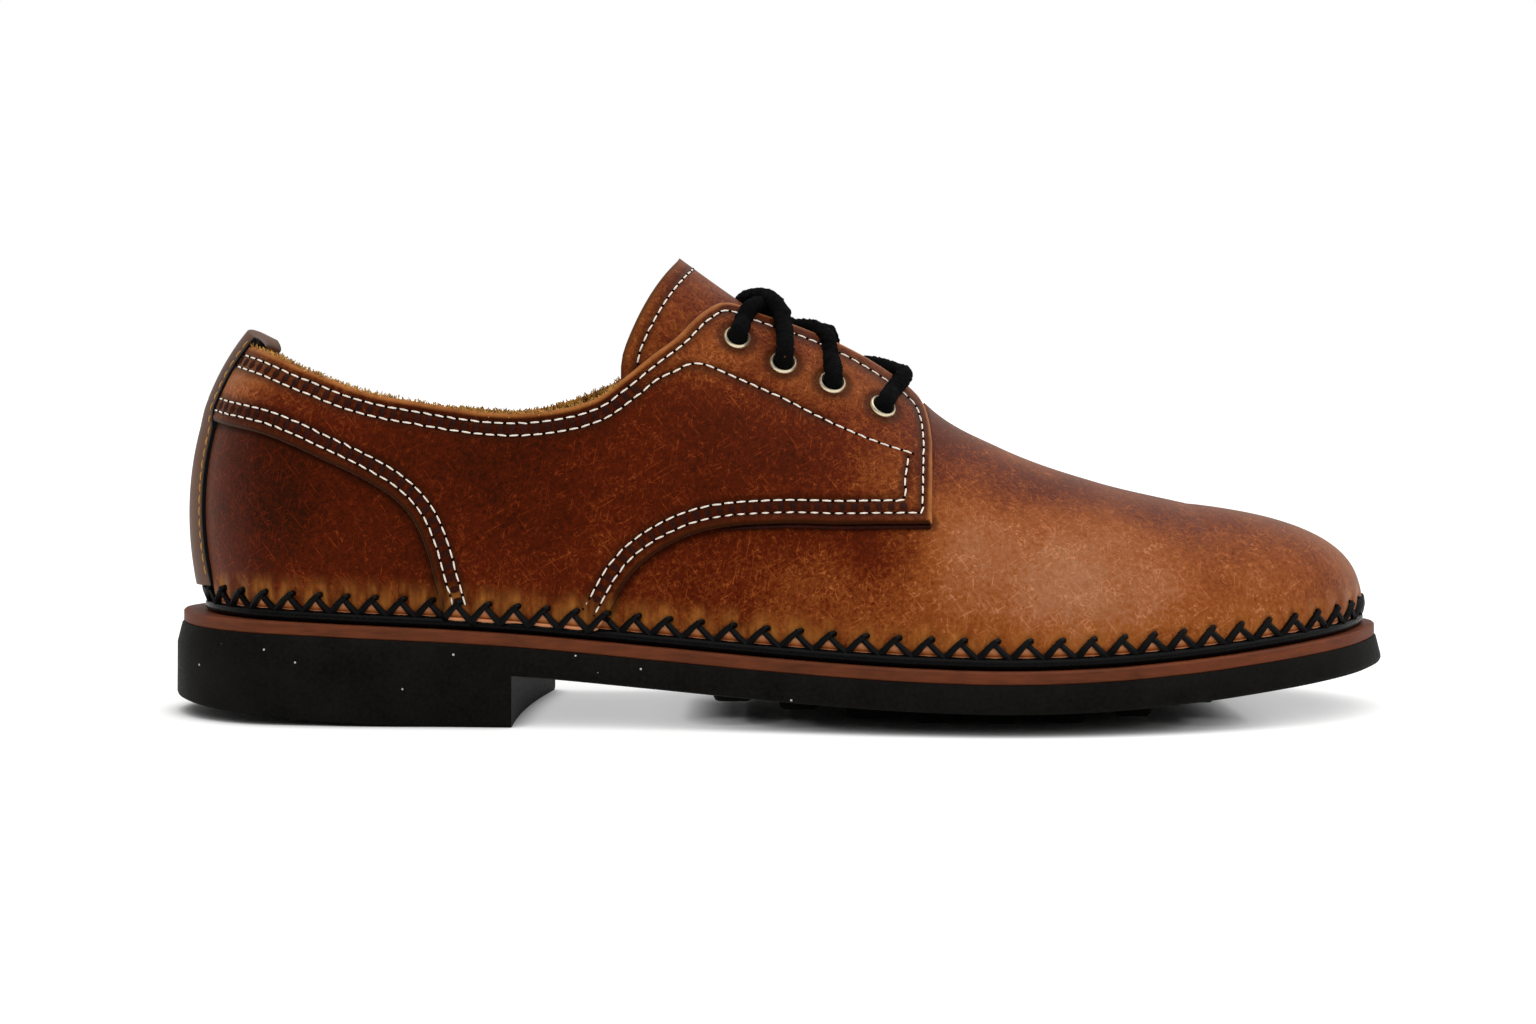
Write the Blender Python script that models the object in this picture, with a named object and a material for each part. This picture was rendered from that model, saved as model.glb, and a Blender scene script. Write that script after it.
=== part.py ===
"""Open-laced leather shoe for the right foot, standing on a moulded rubber sole.

Metres, +Z up, +X towards the toe, +Y towards the inner (medial) side of the foot.
The origin is on the floor, below the middle of the sole's outline.
"""

import math

import bmesh
import bpy
import numpy as np
from mathutils import Matrix, Vector

MM = 0.001
LATERAL, MEDIAL = -1, 1
SHARP_EDGE = math.radians(40)
WELD = 0.001 * MM
HALVINGS = 40

# Sole: driving sizes
GAP = 0.3 * MM
MIDSOLE_THICKNESS = 3.0 * MM
PLATE_THICKNESS = 6.4 * MM
MIDSOLE_INSET = 1.6 * MM
PLATE_TOP_INSET = 1.2 * MM
HEEL_BREAST = -62.5 * MM
BREAST_SKEW = 0.047
HEEL_FLAT_END = -92 * MM
HEEL_REAR_RISE = 4.2 * MM
HEEL_RISE_POWER = 1.25
LUG_LENGTH = 9.5 * MM
LUG_TAPER = 1.2 * MM
LUG_END_TAPER = 10 * MM
LUG_EDGE_MARGIN = 10 * MM
LUG_BITE = 2 * MM
SOLE_STEPS = 34
BREAST_CLEAR_SHARE = 0.02
OUTLINE_POINTS = 720

# Half outline of the tread seen from above, from the back of the heel to the toe
SOLE_OUTLINE_COLUMNS = ("station", "lateral", "medial")
SOLE_OUTLINE = [
    (-146, 17.5, 17.5),
    (-132, 29.5, 29.5),
    (-108, 34.7, 34.3),
    (-75, 36.4, 33.6),
    (-40, 39.2, 31.8),
    (-5, 45.2, 35.0),
    (28, 51.0, 44.5),
    (56, 53.0, 51.0),
    (82, 50.0, 53.0),
    (108, 42.0, 50.0),
    (128, 31.0, 42.0),
    (143, 16.0, 29.0),
]
HEEL_TIP = (-152, 0)
TOE_TIP = (152, 6)

# Height of the midsole's upper face along the shoe
WELT_LINE_COLUMNS = ("station", "height")
WELT_LINE = [
    (-152, 25.4),
    (-110, 24.0),
    (-64, 21.8),
    (-30, 19.1),
    (4, 16.6),
    (29, 15.3),
    (52, 14.8),
    (74, 15.3),
    (97, 16.8),
    (121, 18.9),
    (152, 21.4),
]

# Tread bars under the forefoot: place along the shoe and height of the foot of each
LUG_COLUMNS = ("station", "foot")
LUGS = [
    (-12, 4.2),
    (4, 2.6),
    (20, 0.9),
    (36, 0),
    (52, 0),
    (68, 0),
    (84, 1.2),
    (100, 4.0),
]

# Upper: driving sizes
WALL = 2.2 * MM
FEATHER_MARGIN = 5.3 * MM
FEATHER_MARGIN_HEEL = 8.6 * MM
FEATHER_MARGIN_TOE = 5.6 * MM
FEATHER_END_SHARE = 0.16
HEEL_CENTRE = (-117 * MM, 0)
TOE_CENTRE = (103 * MM, 4 * MM)
HEEL_FAN_LENGTH = 40 * MM
TOE_FAN_LENGTH = 60 * MM
THROAT_HALF_WIDTH = 12 * MM
WALL_TURN = 0.33
WALL_ROWS = 10
CROWN_ROWS = 3

# Cross-sections of the last: height of the crest, lean and rise of the side wall above the feather
# edge, and how far out and how far below the crest the shoulder turns in
SECTION_COLUMNS = ("station", "crest", "lean", "rise", "shoulder", "drop")
SECTIONS = [
    (-117, 105, 6.5, 33, 24.0, 8.0),
    (-81, 121, 3.0, 28, 24.5, 4.0),
    (-41, 124, 2.0, 34, 26.5, 8.0),
    (-10, 106.5, 1.5, 36, 22.5, 3.0),
    (4, 101, 1.5, 36, 21.0, 1.0),
    (17, 95, 1.8, 33, 21.5, 0.5),
    (29, 86.5, 2.0, 29, 22.5, 0),
    (39, 76.3, 2.5, 24, 24.0, 0),
    (55, 64.6, 3.0, 19, 26.5, 0),
    (80, 55.6, 3.5, 17, 28.0, 0),
    (103, 50.6, 3.4, 14, 29.5, 0.5),
]
HEEL_BACK_SECTION = (105, 9.0, 35, 23.9, 10.9)
TOE_TIP_SECTION = (50.6, 2.8, 10, 36.0, 1.4)

# Top edge of the quarters, from the back of the heel to the corner of the facing
COLLAR_COLUMNS = ("station", "lateral", "medial")
COLLAR = [
    (-157, 92.5, 92.5),
    (-143, 92.2, 91.6),
    (-130, 90.2, 88.5),
    (-117, 86.3, 83.8),
    (-105, 81.7, 79.9),
    (-92, 78.0, 77.0),
    (-80, 75.8, 75.1),
    (-68, 74.5, 74.6),
    (-56, 74.8, 76.0),
    (-46, 77.4, 79.6),
    (-39, 82.2, 84.6),
    (-30, 89.5, 91.2),
    (-22.5, 96.3, 96.9),
    (-17, 101, 101),
    (-10, 106, 106),
]

# Stations of the upper's mesh
HEEL_FAN_STEPS = 8
TOE_FAN_STEPS = 8
SIDE_STATIONS = (-117, -105, -93, -81, -69, -57, -47, -39, -31, -23, -17, -10, -2, 6, 14, 21, 28)
VAMP_STATIONS = (36, 42, 49, 59, 71, 83, 93, 103)

# Insole, tongue and back strip
INSOLE_THICKNESS = 3.0 * MM
INSOLE_CLEARANCE = 1.0 * MM
TONGUE_THICKNESS = 2.4 * MM
TONGUE_GAP = 0.7 * MM
TONGUE_FRONT = 46 * MM
TONGUE_TOP = -26 * MM
TONGUE_EAR = 12 * MM
TONGUE_EAR_POWER = 1.5
TONGUE_HALF_WIDTH_FRONT = 19 * MM
TONGUE_HALF_WIDTH_TOP = 27 * MM
TONGUE_ROWS = 16
TONGUE_COLUMNS = 13
STRIP_THICKNESS = 1.8 * MM
STRIP_GAP = 0.4 * MM
STRIP_HALF_WIDTH = 14.5 * MM
STRIP_BEND_RADIUS = 24 * MM
STRIP_FOOT_RISE = 1.5 * MM
STRIP_TURN_IN = 9 * MM
STRIP_COLUMNS = 7
STRIP_ROWS = 9
STRIP_FOLD_ROWS = 6
STRIP_TURN_IN_ROWS = 4

# Lacing
EYELET_FIRST = -11 * MM
EYELET_PITCH = 11.9 * MM
EYELET_COUNT = 4
EYELET_SETBACK_FIRST = 11.5 * MM
EYELET_SETBACK_LAST = 14.5 * MM
EYELET_HOLE_RADIUS = 3.2 * MM
EYELET_BARREL_RADIUS = 2.9 * MM
EYELET_BORE_RADIUS = 2.5 * MM
EYELET_FLANGE_RADIUS = 3.9 * MM
EYELET_FLANGE_THICKNESS = 0.7 * MM
EYELET_SEAT = 0.4 * MM
EYELET_SIDES = 14
ARC_SAMPLES = 120
LACE_RADIUS = 2.1 * MM
LACE_RISE = 2.6 * MM
LACE_EDGE_LIFT = 2.7 * MM
LACE_CREST_LIFT = -0.3 * MM
LACE_OVER_LIFT = 1.8 * MM
LACE_LEAVES = 0.15
LACE_CROSSES = 0.35
LACE_LANDS = 0.55
LACE_SIDES = 8
LACE_STEPS = 18


# Tables and curves


def column(rows, columns, name):
    return np.array([row[columns.index(name)] for row in rows], float)


def smooth(stations, values, at):
    """Cubic through a table's rows, each row's slope taken from its neighbours."""
    at = np.asarray(at, float)
    slopes = np.gradient(values, stations)
    i = np.clip(np.searchsorted(stations, at) - 1, 0, len(stations) - 2)
    span = stations[i + 1] - stations[i]
    t = np.clip((at - stations[i]) / span, 0, 1)
    rise_in, rise_out = slopes[i] * span, slopes[i + 1] * span
    start = (1 + 2 * t) * (1 - t) ** 2 * values[i] + t * (1 - t) ** 2 * rise_in
    return start + t * t * (3 - 2 * t) * values[i + 1] - t * t * (1 - t) * rise_out


def read_table(rows, columns, name, at):
    """A table's named column at places along the shoe, in metres."""
    return MM * smooth(column(rows, columns, "station"), column(rows, columns, name), np.asarray(at) / MM)


def closed_curve(points, count):
    """Smooth closed curve through the points, read at even steps of its chords."""
    ring = np.array(points, float)
    padded = np.vstack([ring[-3:], ring, ring[:4]])
    along = np.concatenate([[0], np.cumsum(np.linalg.norm(np.diff(padded, axis=0), axis=1))])
    at = np.linspace(along[3], along[3 + len(ring)], count, endpoint=False)
    return np.column_stack([smooth(along, padded[:, k], at) for k in (0, 1)])


def sole_outline():
    """Outline of the tread from above, from the heel's tip round the lateral side to the toe and back."""
    stations = column(SOLE_OUTLINE, SOLE_OUTLINE_COLUMNS, "station")
    lateral = np.column_stack([stations, -column(SOLE_OUTLINE, SOLE_OUTLINE_COLUMNS, "lateral")])
    medial = np.column_stack([stations, column(SOLE_OUTLINE, SOLE_OUTLINE_COLUMNS, "medial")])
    return MM * closed_curve(np.vstack([[HEEL_TIP], lateral, [TOE_TIP], medial[::-1]]), OUTLINE_POINTS)


def inset(outline, margin):
    """The outline moved inwards by a margin, which may differ from point to point."""
    along = np.roll(outline, -1, axis=0) - np.roll(outline, 1, axis=0)
    inward = np.column_stack([-along[:, 1], along[:, 0]]) / np.linalg.norm(along, axis=1)[:, None]
    return outline + inward * np.broadcast_to(margin, len(outline))[:, None]


def welt_height(x):
    return read_table(WELT_LINE, WELT_LINE_COLUMNS, "height", x)


# Meshes and materials


def material(name, colour, roughness, metallic=0.0):
    made = bpy.data.materials.new(name)
    made.use_nodes = True
    shader = made.node_tree.nodes["Principled BSDF"]
    shader.inputs["Base Color"].default_value = (*colour, 1.0)
    shader.inputs["Roughness"].default_value = roughness
    shader.inputs["Metallic"].default_value = metallic
    return made


def mesh_object(name, vertices, faces, finish, parent=None):
    """A named object from faces whose shared points are merged and whose sides face outwards."""
    mesh = bpy.data.meshes.new(name)
    mesh.from_pydata([tuple(v) for v in vertices], [], faces)
    work = bmesh.new()
    work.from_mesh(mesh)
    bmesh.ops.remove_doubles(work, verts=work.verts, dist=WELD)
    bmesh.ops.recalc_face_normals(work, faces=work.faces)
    work.to_mesh(mesh)
    work.free()
    made = bpy.data.objects.new(name, mesh)
    bpy.context.scene.collection.objects.link(made)
    if finish:
        mesh.materials.append(finish)
    mesh.shade_smooth()
    mesh.set_sharp_from_angle(angle=SHARP_EDGE)
    made.parent = parent
    return made


def helper(made):
    """Marks a cutter or a piece that is joined into another."""
    made.hide_render = True
    made.display_type = "WIRE"
    return made


def boolean(target, other, operation):
    step = target.modifiers.new(operation.lower() + "_" + other.name, "BOOLEAN")
    step.object = other
    step.operation = operation
    step.solver = "EXACT"


def solidify(target, thickness, offset):
    step = target.modifiers.new("wall", "SOLIDIFY")
    step.thickness = thickness
    step.offset = offset
    step.use_even_offset = True
    return step


def grid_faces(rows, columns, first=0):
    """Quads of a grid of points that is stored row by row."""
    return [
        (first + r * columns + c, first + r * columns + c + 1,
         first + (r + 1) * columns + c + 1, first + (r + 1) * columns + c)
        for r in range(rows - 1)
        for c in range(columns - 1)
    ]


def loft(name, rings, finish, parent):
    """A closed solid through rings of corners whose first and last rings have closed to a line."""
    count = len(rings[0])
    vertices = [point for ring in rings for point in ring]
    faces = [
        (r * count + c, r * count + (c + 1) % count,
         (r + 1) * count + (c + 1) % count, (r + 1) * count + c)
        for r in range(len(rings) - 1)
        for c in range(count)
    ]
    return mesh_object(name, vertices, faces, finish, parent)


def rungs(outline, shares):
    """Lateral and medial points of an outline at shares of its length, from the heel to the toe."""
    first, last = outline[:, 0].argmin(), outline[:, 0].argmax()
    turned = np.roll(outline, -first, axis=0)
    split = (last - first) % len(outline)
    x = outline[first, 0] + shares * (outline[last, 0] - outline[first, 0])
    lateral = np.interp(x, turned[: split + 1, 0], turned[: split + 1, 1])
    back = np.vstack([turned[split:], turned[:1]])[::-1]
    medial = np.interp(x, back[:, 0], back[:, 1])
    return np.column_stack([x, lateral]), np.column_stack([x, medial])


def rounded_shares(steps):
    """Shares from 0 to 1 that lie closer together at both round ends."""
    return (1 - np.cos(np.linspace(0, math.pi, steps))) / 2


# Sole


def plate_bottom(x):
    return welt_height(x) - MIDSOLE_THICKNESS - GAP - PLATE_THICKNESS


def heel_bottom(x):
    """The heel's foot: flat on the floor, and rolled up a little towards the back."""
    span = HEEL_FLAT_END - HEEL_TIP[0] * MM
    share = np.clip((HEEL_FLAT_END - x) / span, 0, 1)
    return HEEL_REAR_RISE * share**HEEL_RISE_POWER


def layer(name, outline, top, bottom, finish, parent):
    """A sheet of the sole with the given outline between two heights along the shoe."""
    rings = []
    for lateral, medial in zip(*rungs(outline, rounded_shares(SOLE_STEPS))):
        x = lateral[0]
        rings.append([
            (*lateral, top(x)), (*lateral, bottom(x)), (*medial, bottom(x)), (*medial, top(x)),
        ])
    return loft(name, rings, finish, parent)


def outsole_ring(share, top_outline, tread_outline, with_heel, skew):
    """Corners of the outsole across the shoe: upper face, plate edge and foot on each side."""
    top = [side[0] for side in rungs(top_outline, np.array([share]))]
    edge = [side[0] for side in rungs(tread_outline, np.array([share]))]
    corners = []
    for (top_x, top_y), (x, y) in zip(top, edge):
        x, top_x = x + skew * y, top_x + skew * top_y
        foot = heel_bottom(x) if with_heel else plate_bottom(x)
        corners.append([
            (top_x, top_y, welt_height(top_x) - MIDSOLE_THICKNESS - GAP),
            (x, y, plate_bottom(x)),
            (x, y, foot),
        ])
    return corners[0] + corners[1][::-1]


def make_lugs(outline):
    """Tread bars across the forefoot, each a tapered block that bites into the plate."""
    vertices, faces = [], []
    stations = column(LUGS, LUG_COLUMNS, "station") * MM
    feet = column(LUGS, LUG_COLUMNS, "foot") * MM
    for station, foot in zip(stations, feet):
        first = len(vertices)
        for end in (-1, 1):
            x_top = station + end * (LUG_LENGTH / 2 + LUG_TAPER)
            x_foot = station + end * LUG_LENGTH / 2
            share = (station - outline[:, 0].min()) / np.ptp(outline[:, 0])
            lateral, medial = (side[0, 1] for side in rungs(outline, np.array([share])))
            low, high = lateral + LUG_EDGE_MARGIN, medial - LUG_EDGE_MARGIN
            roof = plate_bottom(x_top) + LUG_BITE
            vertices += [
                (x_top, low, roof), (x_top, high, roof),
                (x_foot, high - LUG_END_TAPER, foot), (x_foot, low + LUG_END_TAPER, foot),
            ]
        faces += [
            tuple(first + k for k in quad)
            for quad in ((0, 1, 2, 3), (7, 6, 5, 4), (0, 4, 5, 1), (1, 5, 6, 2), (2, 6, 7, 3), (3, 7, 4, 0))
        ]
    return helper(mesh_object("tread_bars", vertices, faces, None))


def make_outsole(finish, parent):
    tread = sole_outline()
    top = inset(tread, PLATE_TOP_INSET)
    shares = rounded_shares(SOLE_STEPS)
    breast = (HEEL_BREAST - tread[:, 0].min()) / np.ptp(tread[:, 0])
    heel_shares = [s for s in shares if s < breast - BREAST_CLEAR_SHARE]
    fore_shares = [s for s in shares if s > breast + BREAST_CLEAR_SHARE]
    rings = [outsole_ring(s, top, tread, True, BREAST_SKEW * s / breast) for s in heel_shares]
    rings += [outsole_ring(breast, top, tread, heel, BREAST_SKEW) for heel in (True, False)]
    rings += [outsole_ring(s, top, tread, False, 0) for s in fore_shares]
    outsole = loft("outsole", rings, finish, parent)
    boolean(outsole, make_lugs(tread), "UNION")
    return outsole


def make_midsole(finish, parent):
    outline = inset(sole_outline(), MIDSOLE_INSET)

    def bottom(x):
        return welt_height(x) - MIDSOLE_THICKNESS

    return layer("midsole", outline, welt_height, bottom, finish, parent)


def make_insole(finish, parent):
    outline = inset(feather_outline(), WALL + INSOLE_CLEARANCE)

    def bottom(x):
        return welt_height(x) + GAP

    return layer("insole", outline, lambda x: bottom(x) + INSOLE_THICKNESS, bottom, finish, parent)


# Last: the form of the upper


def feather_outline():
    """Where the upper meets the sole, seen from above."""
    tread = sole_outline()
    share = (tread[:, 0] - tread[:, 0].min()) / np.ptp(tread[:, 0])
    heel = np.clip(1 - share / FEATHER_END_SHARE, 0, 1) ** 2
    toe = np.clip(1 - (1 - share) / FEATHER_END_SHARE, 0, 1) ** 2
    margin = FEATHER_MARGIN + heel * (FEATHER_MARGIN_HEEL - FEATHER_MARGIN)
    return inset(tread, margin + toe * (FEATHER_MARGIN_TOE - FEATHER_MARGIN))


FEATHER = feather_outline()
HEEL_END = HEEL_CENTRE[0] - HEEL_FAN_LENGTH
TOE_END = TOE_CENTRE[0] + TOE_FAN_LENGTH


def spine(station, side):
    """Plan point on the last's middle line, the outward direction there, and the turn of the fan (0 to 1).

    Stations run along the foot. Behind the heel centre and before the toe centre the sections turn
    like a fan, until they face straight back or straight ahead at the last station.
    """
    station = np.asarray(station, float)
    x = np.clip(station, HEEL_CENTRE[0], TOE_CENTRE[0])
    share = (x - HEEL_CENTRE[0]) / (TOE_CENTRE[0] - HEEL_CENTRE[0])
    y = HEEL_CENTRE[1] + share * (TOE_CENTRE[1] - HEEL_CENTRE[1])
    heel_turn = np.clip((HEEL_CENTRE[0] - station) / HEEL_FAN_LENGTH, 0, 1)
    toe_turn = np.clip((station - TOE_CENTRE[0]) / TOE_FAN_LENGTH, 0, 1)
    angle = (toe_turn - heel_turn) * math.pi / 2
    return np.stack([x, y], -1), np.stack([np.sin(angle), side * np.cos(angle)], -1), heel_turn, toe_turn


def reach(centre, direction):
    """Distance from a plan point along a direction to the feather outline."""
    start, end = FEATHER, np.roll(FEATHER, -1, axis=0)
    edge = end - start
    to_start = start[None] - centre[:, None]
    across = direction[:, None, 0] * edge[None, :, 1] - direction[:, None, 1] * edge[None, :, 0]
    distance = (to_start[..., 0] * edge[None, :, 1] - to_start[..., 1] * edge[None, :, 0]) / across
    share = (to_start[..., 0] * direction[:, None, 1] - to_start[..., 1] * direction[:, None, 0]) / across
    hit = (share >= 0) & (share <= 1) & (distance > 0)
    return np.where(hit, distance, 0).max(axis=1)


def section_value(name, station, heel_turn, toe_turn):
    """A column of the section table, blended into the end sections where the stations fan out."""
    rows = column(SECTIONS, SECTION_COLUMNS, name)
    value = smooth(column(SECTIONS, SECTION_COLUMNS, "station"), rows, np.asarray(station) / MM)
    ends = SECTION_COLUMNS.index(name) - 1
    for turn, end in ((heel_turn, HEEL_BACK_SECTION[ends]), (toe_turn, TOE_TIP_SECTION[ends])):
        value = value + np.sin(turn * math.pi / 2) ** 2 * (end - value)
    return value


def last_frame(station, side):
    """Plan frame of each section and its four control points, as distance out and height."""
    station = np.atleast_1d(np.asarray(station, float))
    centre, out, heel_turn, toe_turn = spine(station, side)
    half = reach(centre, out)
    values = {n: section_value(n, station, heel_turn, toe_turn) for n in SECTION_COLUMNS[1:]}
    feather = welt_height(centre[:, 0] + out[:, 0] * half) + GAP
    crest = values["crest"] * MM
    distance = np.stack([half, half + values["lean"] * MM, values["shoulder"] * MM, 0 * half], -1)
    height = np.stack([feather, feather + values["rise"] * MM, crest - values["drop"] * MM, crest], -1)
    return centre, out, distance, height


def bezier(points, t):
    t = np.asarray(t, float)
    a, b, c, d = (points[..., k] for k in range(4))
    return (1 - t) ** 3 * a + 3 * t * (1 - t) ** 2 * b + 3 * t * t * (1 - t) * c + t**3 * d


def last_point(station, side, t):
    """Point of the last's surface: t runs from 0 at the feather edge to 1 on the crest."""
    station, t = np.broadcast_arrays(np.asarray(station, float), np.asarray(t, float))
    centre, out, distance, height = last_frame(station.ravel(), side)
    r = bezier(distance, t.ravel())
    points = np.column_stack([centre + out * r[:, None], bezier(height, t.ravel())])
    return points.reshape(*station.shape, 3)


def last_normal(station, side, t, step=0.2 * MM, turn=0.002):
    """Outward normal of the last's surface, from differences along and across it."""
    station = np.clip(np.asarray(station, float), HEEL_END + step, TOE_END - step)
    t = np.clip(np.asarray(t, float), turn, 1 - 10 * turn)
    along = last_point(station + step, side, t) - last_point(station - step, side, t)
    across = last_point(station, side, t + turn) - last_point(station, side, t - turn)
    normal = side * np.cross(across, along)
    return normal / np.linalg.norm(normal, axis=-1)[..., None]


def find(curve, target, low, high):
    """Where a curve that rises from low to high reaches the target, by halving."""
    low, high = np.full(len(target), float(low)), np.full(len(target), float(high))
    for _ in range(HALVINGS):
        middle = (low + high) / 2
        below = curve(middle) < target
        low, high = np.where(below, middle, low), np.where(below, high, middle)
    return (low + high) / 2


def turn_at_distance(station, side, r):
    """t where the section comes in to a distance r from the middle line."""
    _, _, distance, _ = last_frame(station, side)
    return find(lambda t: -bezier(distance, t), -np.broadcast_to(r, len(distance)), WALL_TURN, 1)


def turn_at_height(station, side, z):
    _, _, _, height = last_frame(station, side)
    return find(lambda t: bezier(height, t), np.broadcast_to(z, len(height)), 0, 1)


def top_turn(station, side):
    """t of the upper's top edge: the collar, then the edge of the facing along the throat."""
    station = np.atleast_1d(np.asarray(station, float))
    throat = turn_at_distance(station, side, THROAT_HALF_WIDTH)
    name = "lateral" if side == LATERAL else "medial"
    collar = turn_at_height(station, side, read_table(COLLAR, COLLAR_COLUMNS, name, station))
    behind = station < COLLAR[-1][0] * MM
    return np.where(behind, np.minimum(throat, collar), throat)


# Upper


def upper_stations():
    heel = np.linspace(HEEL_END, HEEL_CENTRE[0], HEEL_FAN_STEPS, endpoint=False)
    toe = np.linspace(TOE_CENTRE[0], TOE_END, TOE_FAN_STEPS + 1)[1:]
    quarter = np.concatenate([heel, MM * np.array(SIDE_STATIONS)])
    return quarter, np.concatenate([MM * np.array(VAMP_STATIONS), toe])


def make_upper(finish, parent, eyelet_cutter):
    """Vamp and quarters as one leather wall, open under the foot, at the collar and along the throat."""
    quarter, vamp = upper_stations()
    stations = np.concatenate([quarter, vamp])
    vertices, faces = [], []
    for side in (LATERAL, MEDIAL):
        share = np.linspace(0, 1, WALL_ROWS + 1)
        wall = last_point(stations[:, None], side, top_turn(stations, side)[:, None] * share)
        faces += grid_faces(len(stations), WALL_ROWS + 1, len(vertices))
        vertices += list(wall.reshape(-1, 3))
        rest = top_turn(vamp, side)[:, None]
        crown = last_point(vamp[:, None], side, rest + (1 - rest) * np.linspace(0, 1, CROWN_ROWS + 1))
        faces += grid_faces(len(vamp), CROWN_ROWS + 1, len(vertices))
        vertices += list(crown.reshape(-1, 3))
    upper = mesh_object("upper", vertices, faces, finish, parent)
    outward_from_inside(upper)
    solidify(upper, WALL, -1)
    boolean(upper, eyelet_cutter, "DIFFERENCE")
    return upper


def outward_from_inside(sheet):
    """Turns a sheet's faces so that they point away from the inside of the shoe."""
    inside = Vector((0, 0, welt_height(0)))
    votes = sum(
        math.copysign(1, (face.center - inside).dot(face.normal)) for face in sheet.data.polygons
    )
    if votes < 0:
        sheet.data.flip_normals()


def make_tongue(finish, parent):
    """A leather sheet under the facings that follows the inside of the upper and stands out above it."""
    across = np.linspace(-1, 1, TONGUE_COLUMNS)
    along = np.linspace(0, 1, TONGUE_ROWS)
    depth = WALL + TONGUE_GAP
    rows = []
    for share in along:
        row = []
        for q in across:
            side = LATERAL if q < 0 else MEDIAL
            end = TONGUE_TOP - TONGUE_EAR * abs(q) ** TONGUE_EAR_POWER
            station = np.array([TONGUE_FRONT + share * (end - TONGUE_FRONT)])
            half = TONGUE_HALF_WIDTH_FRONT + share * (TONGUE_HALF_WIDTH_TOP - TONGUE_HALF_WIDTH_FRONT)
            t = turn_at_distance(station, side, abs(q) * half)
            normal = last_normal(station, side, t)[0]
            if q == 0:
                normal = normal * (1, 0, 1)
                normal /= np.linalg.norm(normal)
            row.append(last_point(station, side, t)[0] - normal * depth)
        rows.append(row)
    vertices = [point for row in rows for point in row]
    tongue = mesh_object("tongue", vertices, grid_faces(len(along), len(across)), finish, parent)
    outward_from_inside(tongue)
    solidify(tongue, TONGUE_THICKNESS, -1)
    return tongue


def strip_path(station, side):
    """Middle line of the back strip at one station: up the heel, over the collar's edge and down inside."""
    lift = STRIP_GAP + STRIP_THICKNESS / 2
    top = top_turn(station, side)[0]
    foot = welt_height(HEEL_TIP[0] * MM) + GAP + STRIP_FOOT_RISE
    low = turn_at_height(station, side, foot)[0]
    outside = [
        last_point(station, side, t)[0] + last_normal(station, side, t)[0] * lift
        for t in np.linspace(low, top, STRIP_ROWS)
    ]
    normal = last_normal(station, side, top)[0]
    rim = last_point(station, side, top)[0] - normal * WALL / 2
    upward = np.cross(np.cross(normal, (0, 0, 1)), normal)
    upward /= np.linalg.norm(upward)
    radius = WALL / 2 + lift
    fold = [
        rim + radius * (normal * math.cos(angle) + upward * math.sin(angle))
        for angle in np.linspace(0, math.pi, STRIP_FOLD_ROWS)[1:]
    ]
    turn_in = turn_at_height(station, side, rim[2] - STRIP_TURN_IN)[0]
    inside = [
        last_point(station, side, t)[0] - last_normal(station, side, t)[0] * (WALL + lift)
        for t in np.linspace(top, turn_in, STRIP_TURN_IN_ROWS)[1:]
    ]
    return outside + fold + inside


def make_back_strip(finish, parent):
    """A strip sewn over the heel's back seam, folded over the collar to the inside."""
    turn = STRIP_HALF_WIDTH / STRIP_BEND_RADIUS / (math.pi / 2)
    offsets = np.linspace(-turn, turn, STRIP_COLUMNS) * HEEL_FAN_LENGTH
    paths = [
        strip_path(np.array([HEEL_END + abs(offset)]), LATERAL if offset < 0 else MEDIAL)
        for offset in offsets
    ]
    vertices = [point for path in paths for point in path]
    strip = mesh_object("back_strip", vertices, grid_faces(len(paths), len(paths[0])), finish, parent)
    solidify(strip, STRIP_THICKNESS, 0)
    return strip


# Eyelets and lace


def eyelet_frames():
    """Centre on the facing's face and outward normal of each eyelet, by name."""
    frames = {}
    for side, letter in ((LATERAL, "lateral"), (MEDIAL, "medial")):
        for i in range(EYELET_COUNT):
            station = np.array([EYELET_FIRST + i * EYELET_PITCH])
            edge = turn_at_distance(station, side, THROAT_HALF_WIDTH)[0]
            turns = np.linspace(edge, WALL_TURN, ARC_SAMPLES)
            path = last_point(np.full(ARC_SAMPLES, station[0]), side, turns)
            length = np.concatenate([[0], np.cumsum(np.linalg.norm(np.diff(path, axis=0), axis=1))])
            setback = np.interp(i, (0, EYELET_COUNT - 1), (EYELET_SETBACK_FIRST, EYELET_SETBACK_LAST))
            t = np.interp(setback, length, turns)
            centre = last_point(station, side, t)[0]
            frames[f"{letter}_{i + 1}"] = (Vector(centre), Vector(last_normal(station, side, t)[0]))
    return frames


def turned(name, profile, centre, normal, finish, parent):
    """A ring turned about an axis: the profile is a closed loop of (radius, height)."""
    vertices, faces = [], []
    rotation = normal.to_track_quat("Z", "Y").to_matrix()
    count = len(profile)
    for k in range(EYELET_SIDES):
        angle = 2 * math.pi * k / EYELET_SIDES
        for radius, height in profile:
            local = Vector((radius * math.cos(angle), radius * math.sin(angle), height))
            vertices.append(centre + rotation @ local)
        near, far = k * count, ((k + 1) % EYELET_SIDES) * count
        for c in range(count):
            after = (c + 1) % count
            faces.append((near + c, near + after, far + after, far + c))
    return mesh_object(name, vertices, faces, finish, parent)


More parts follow.
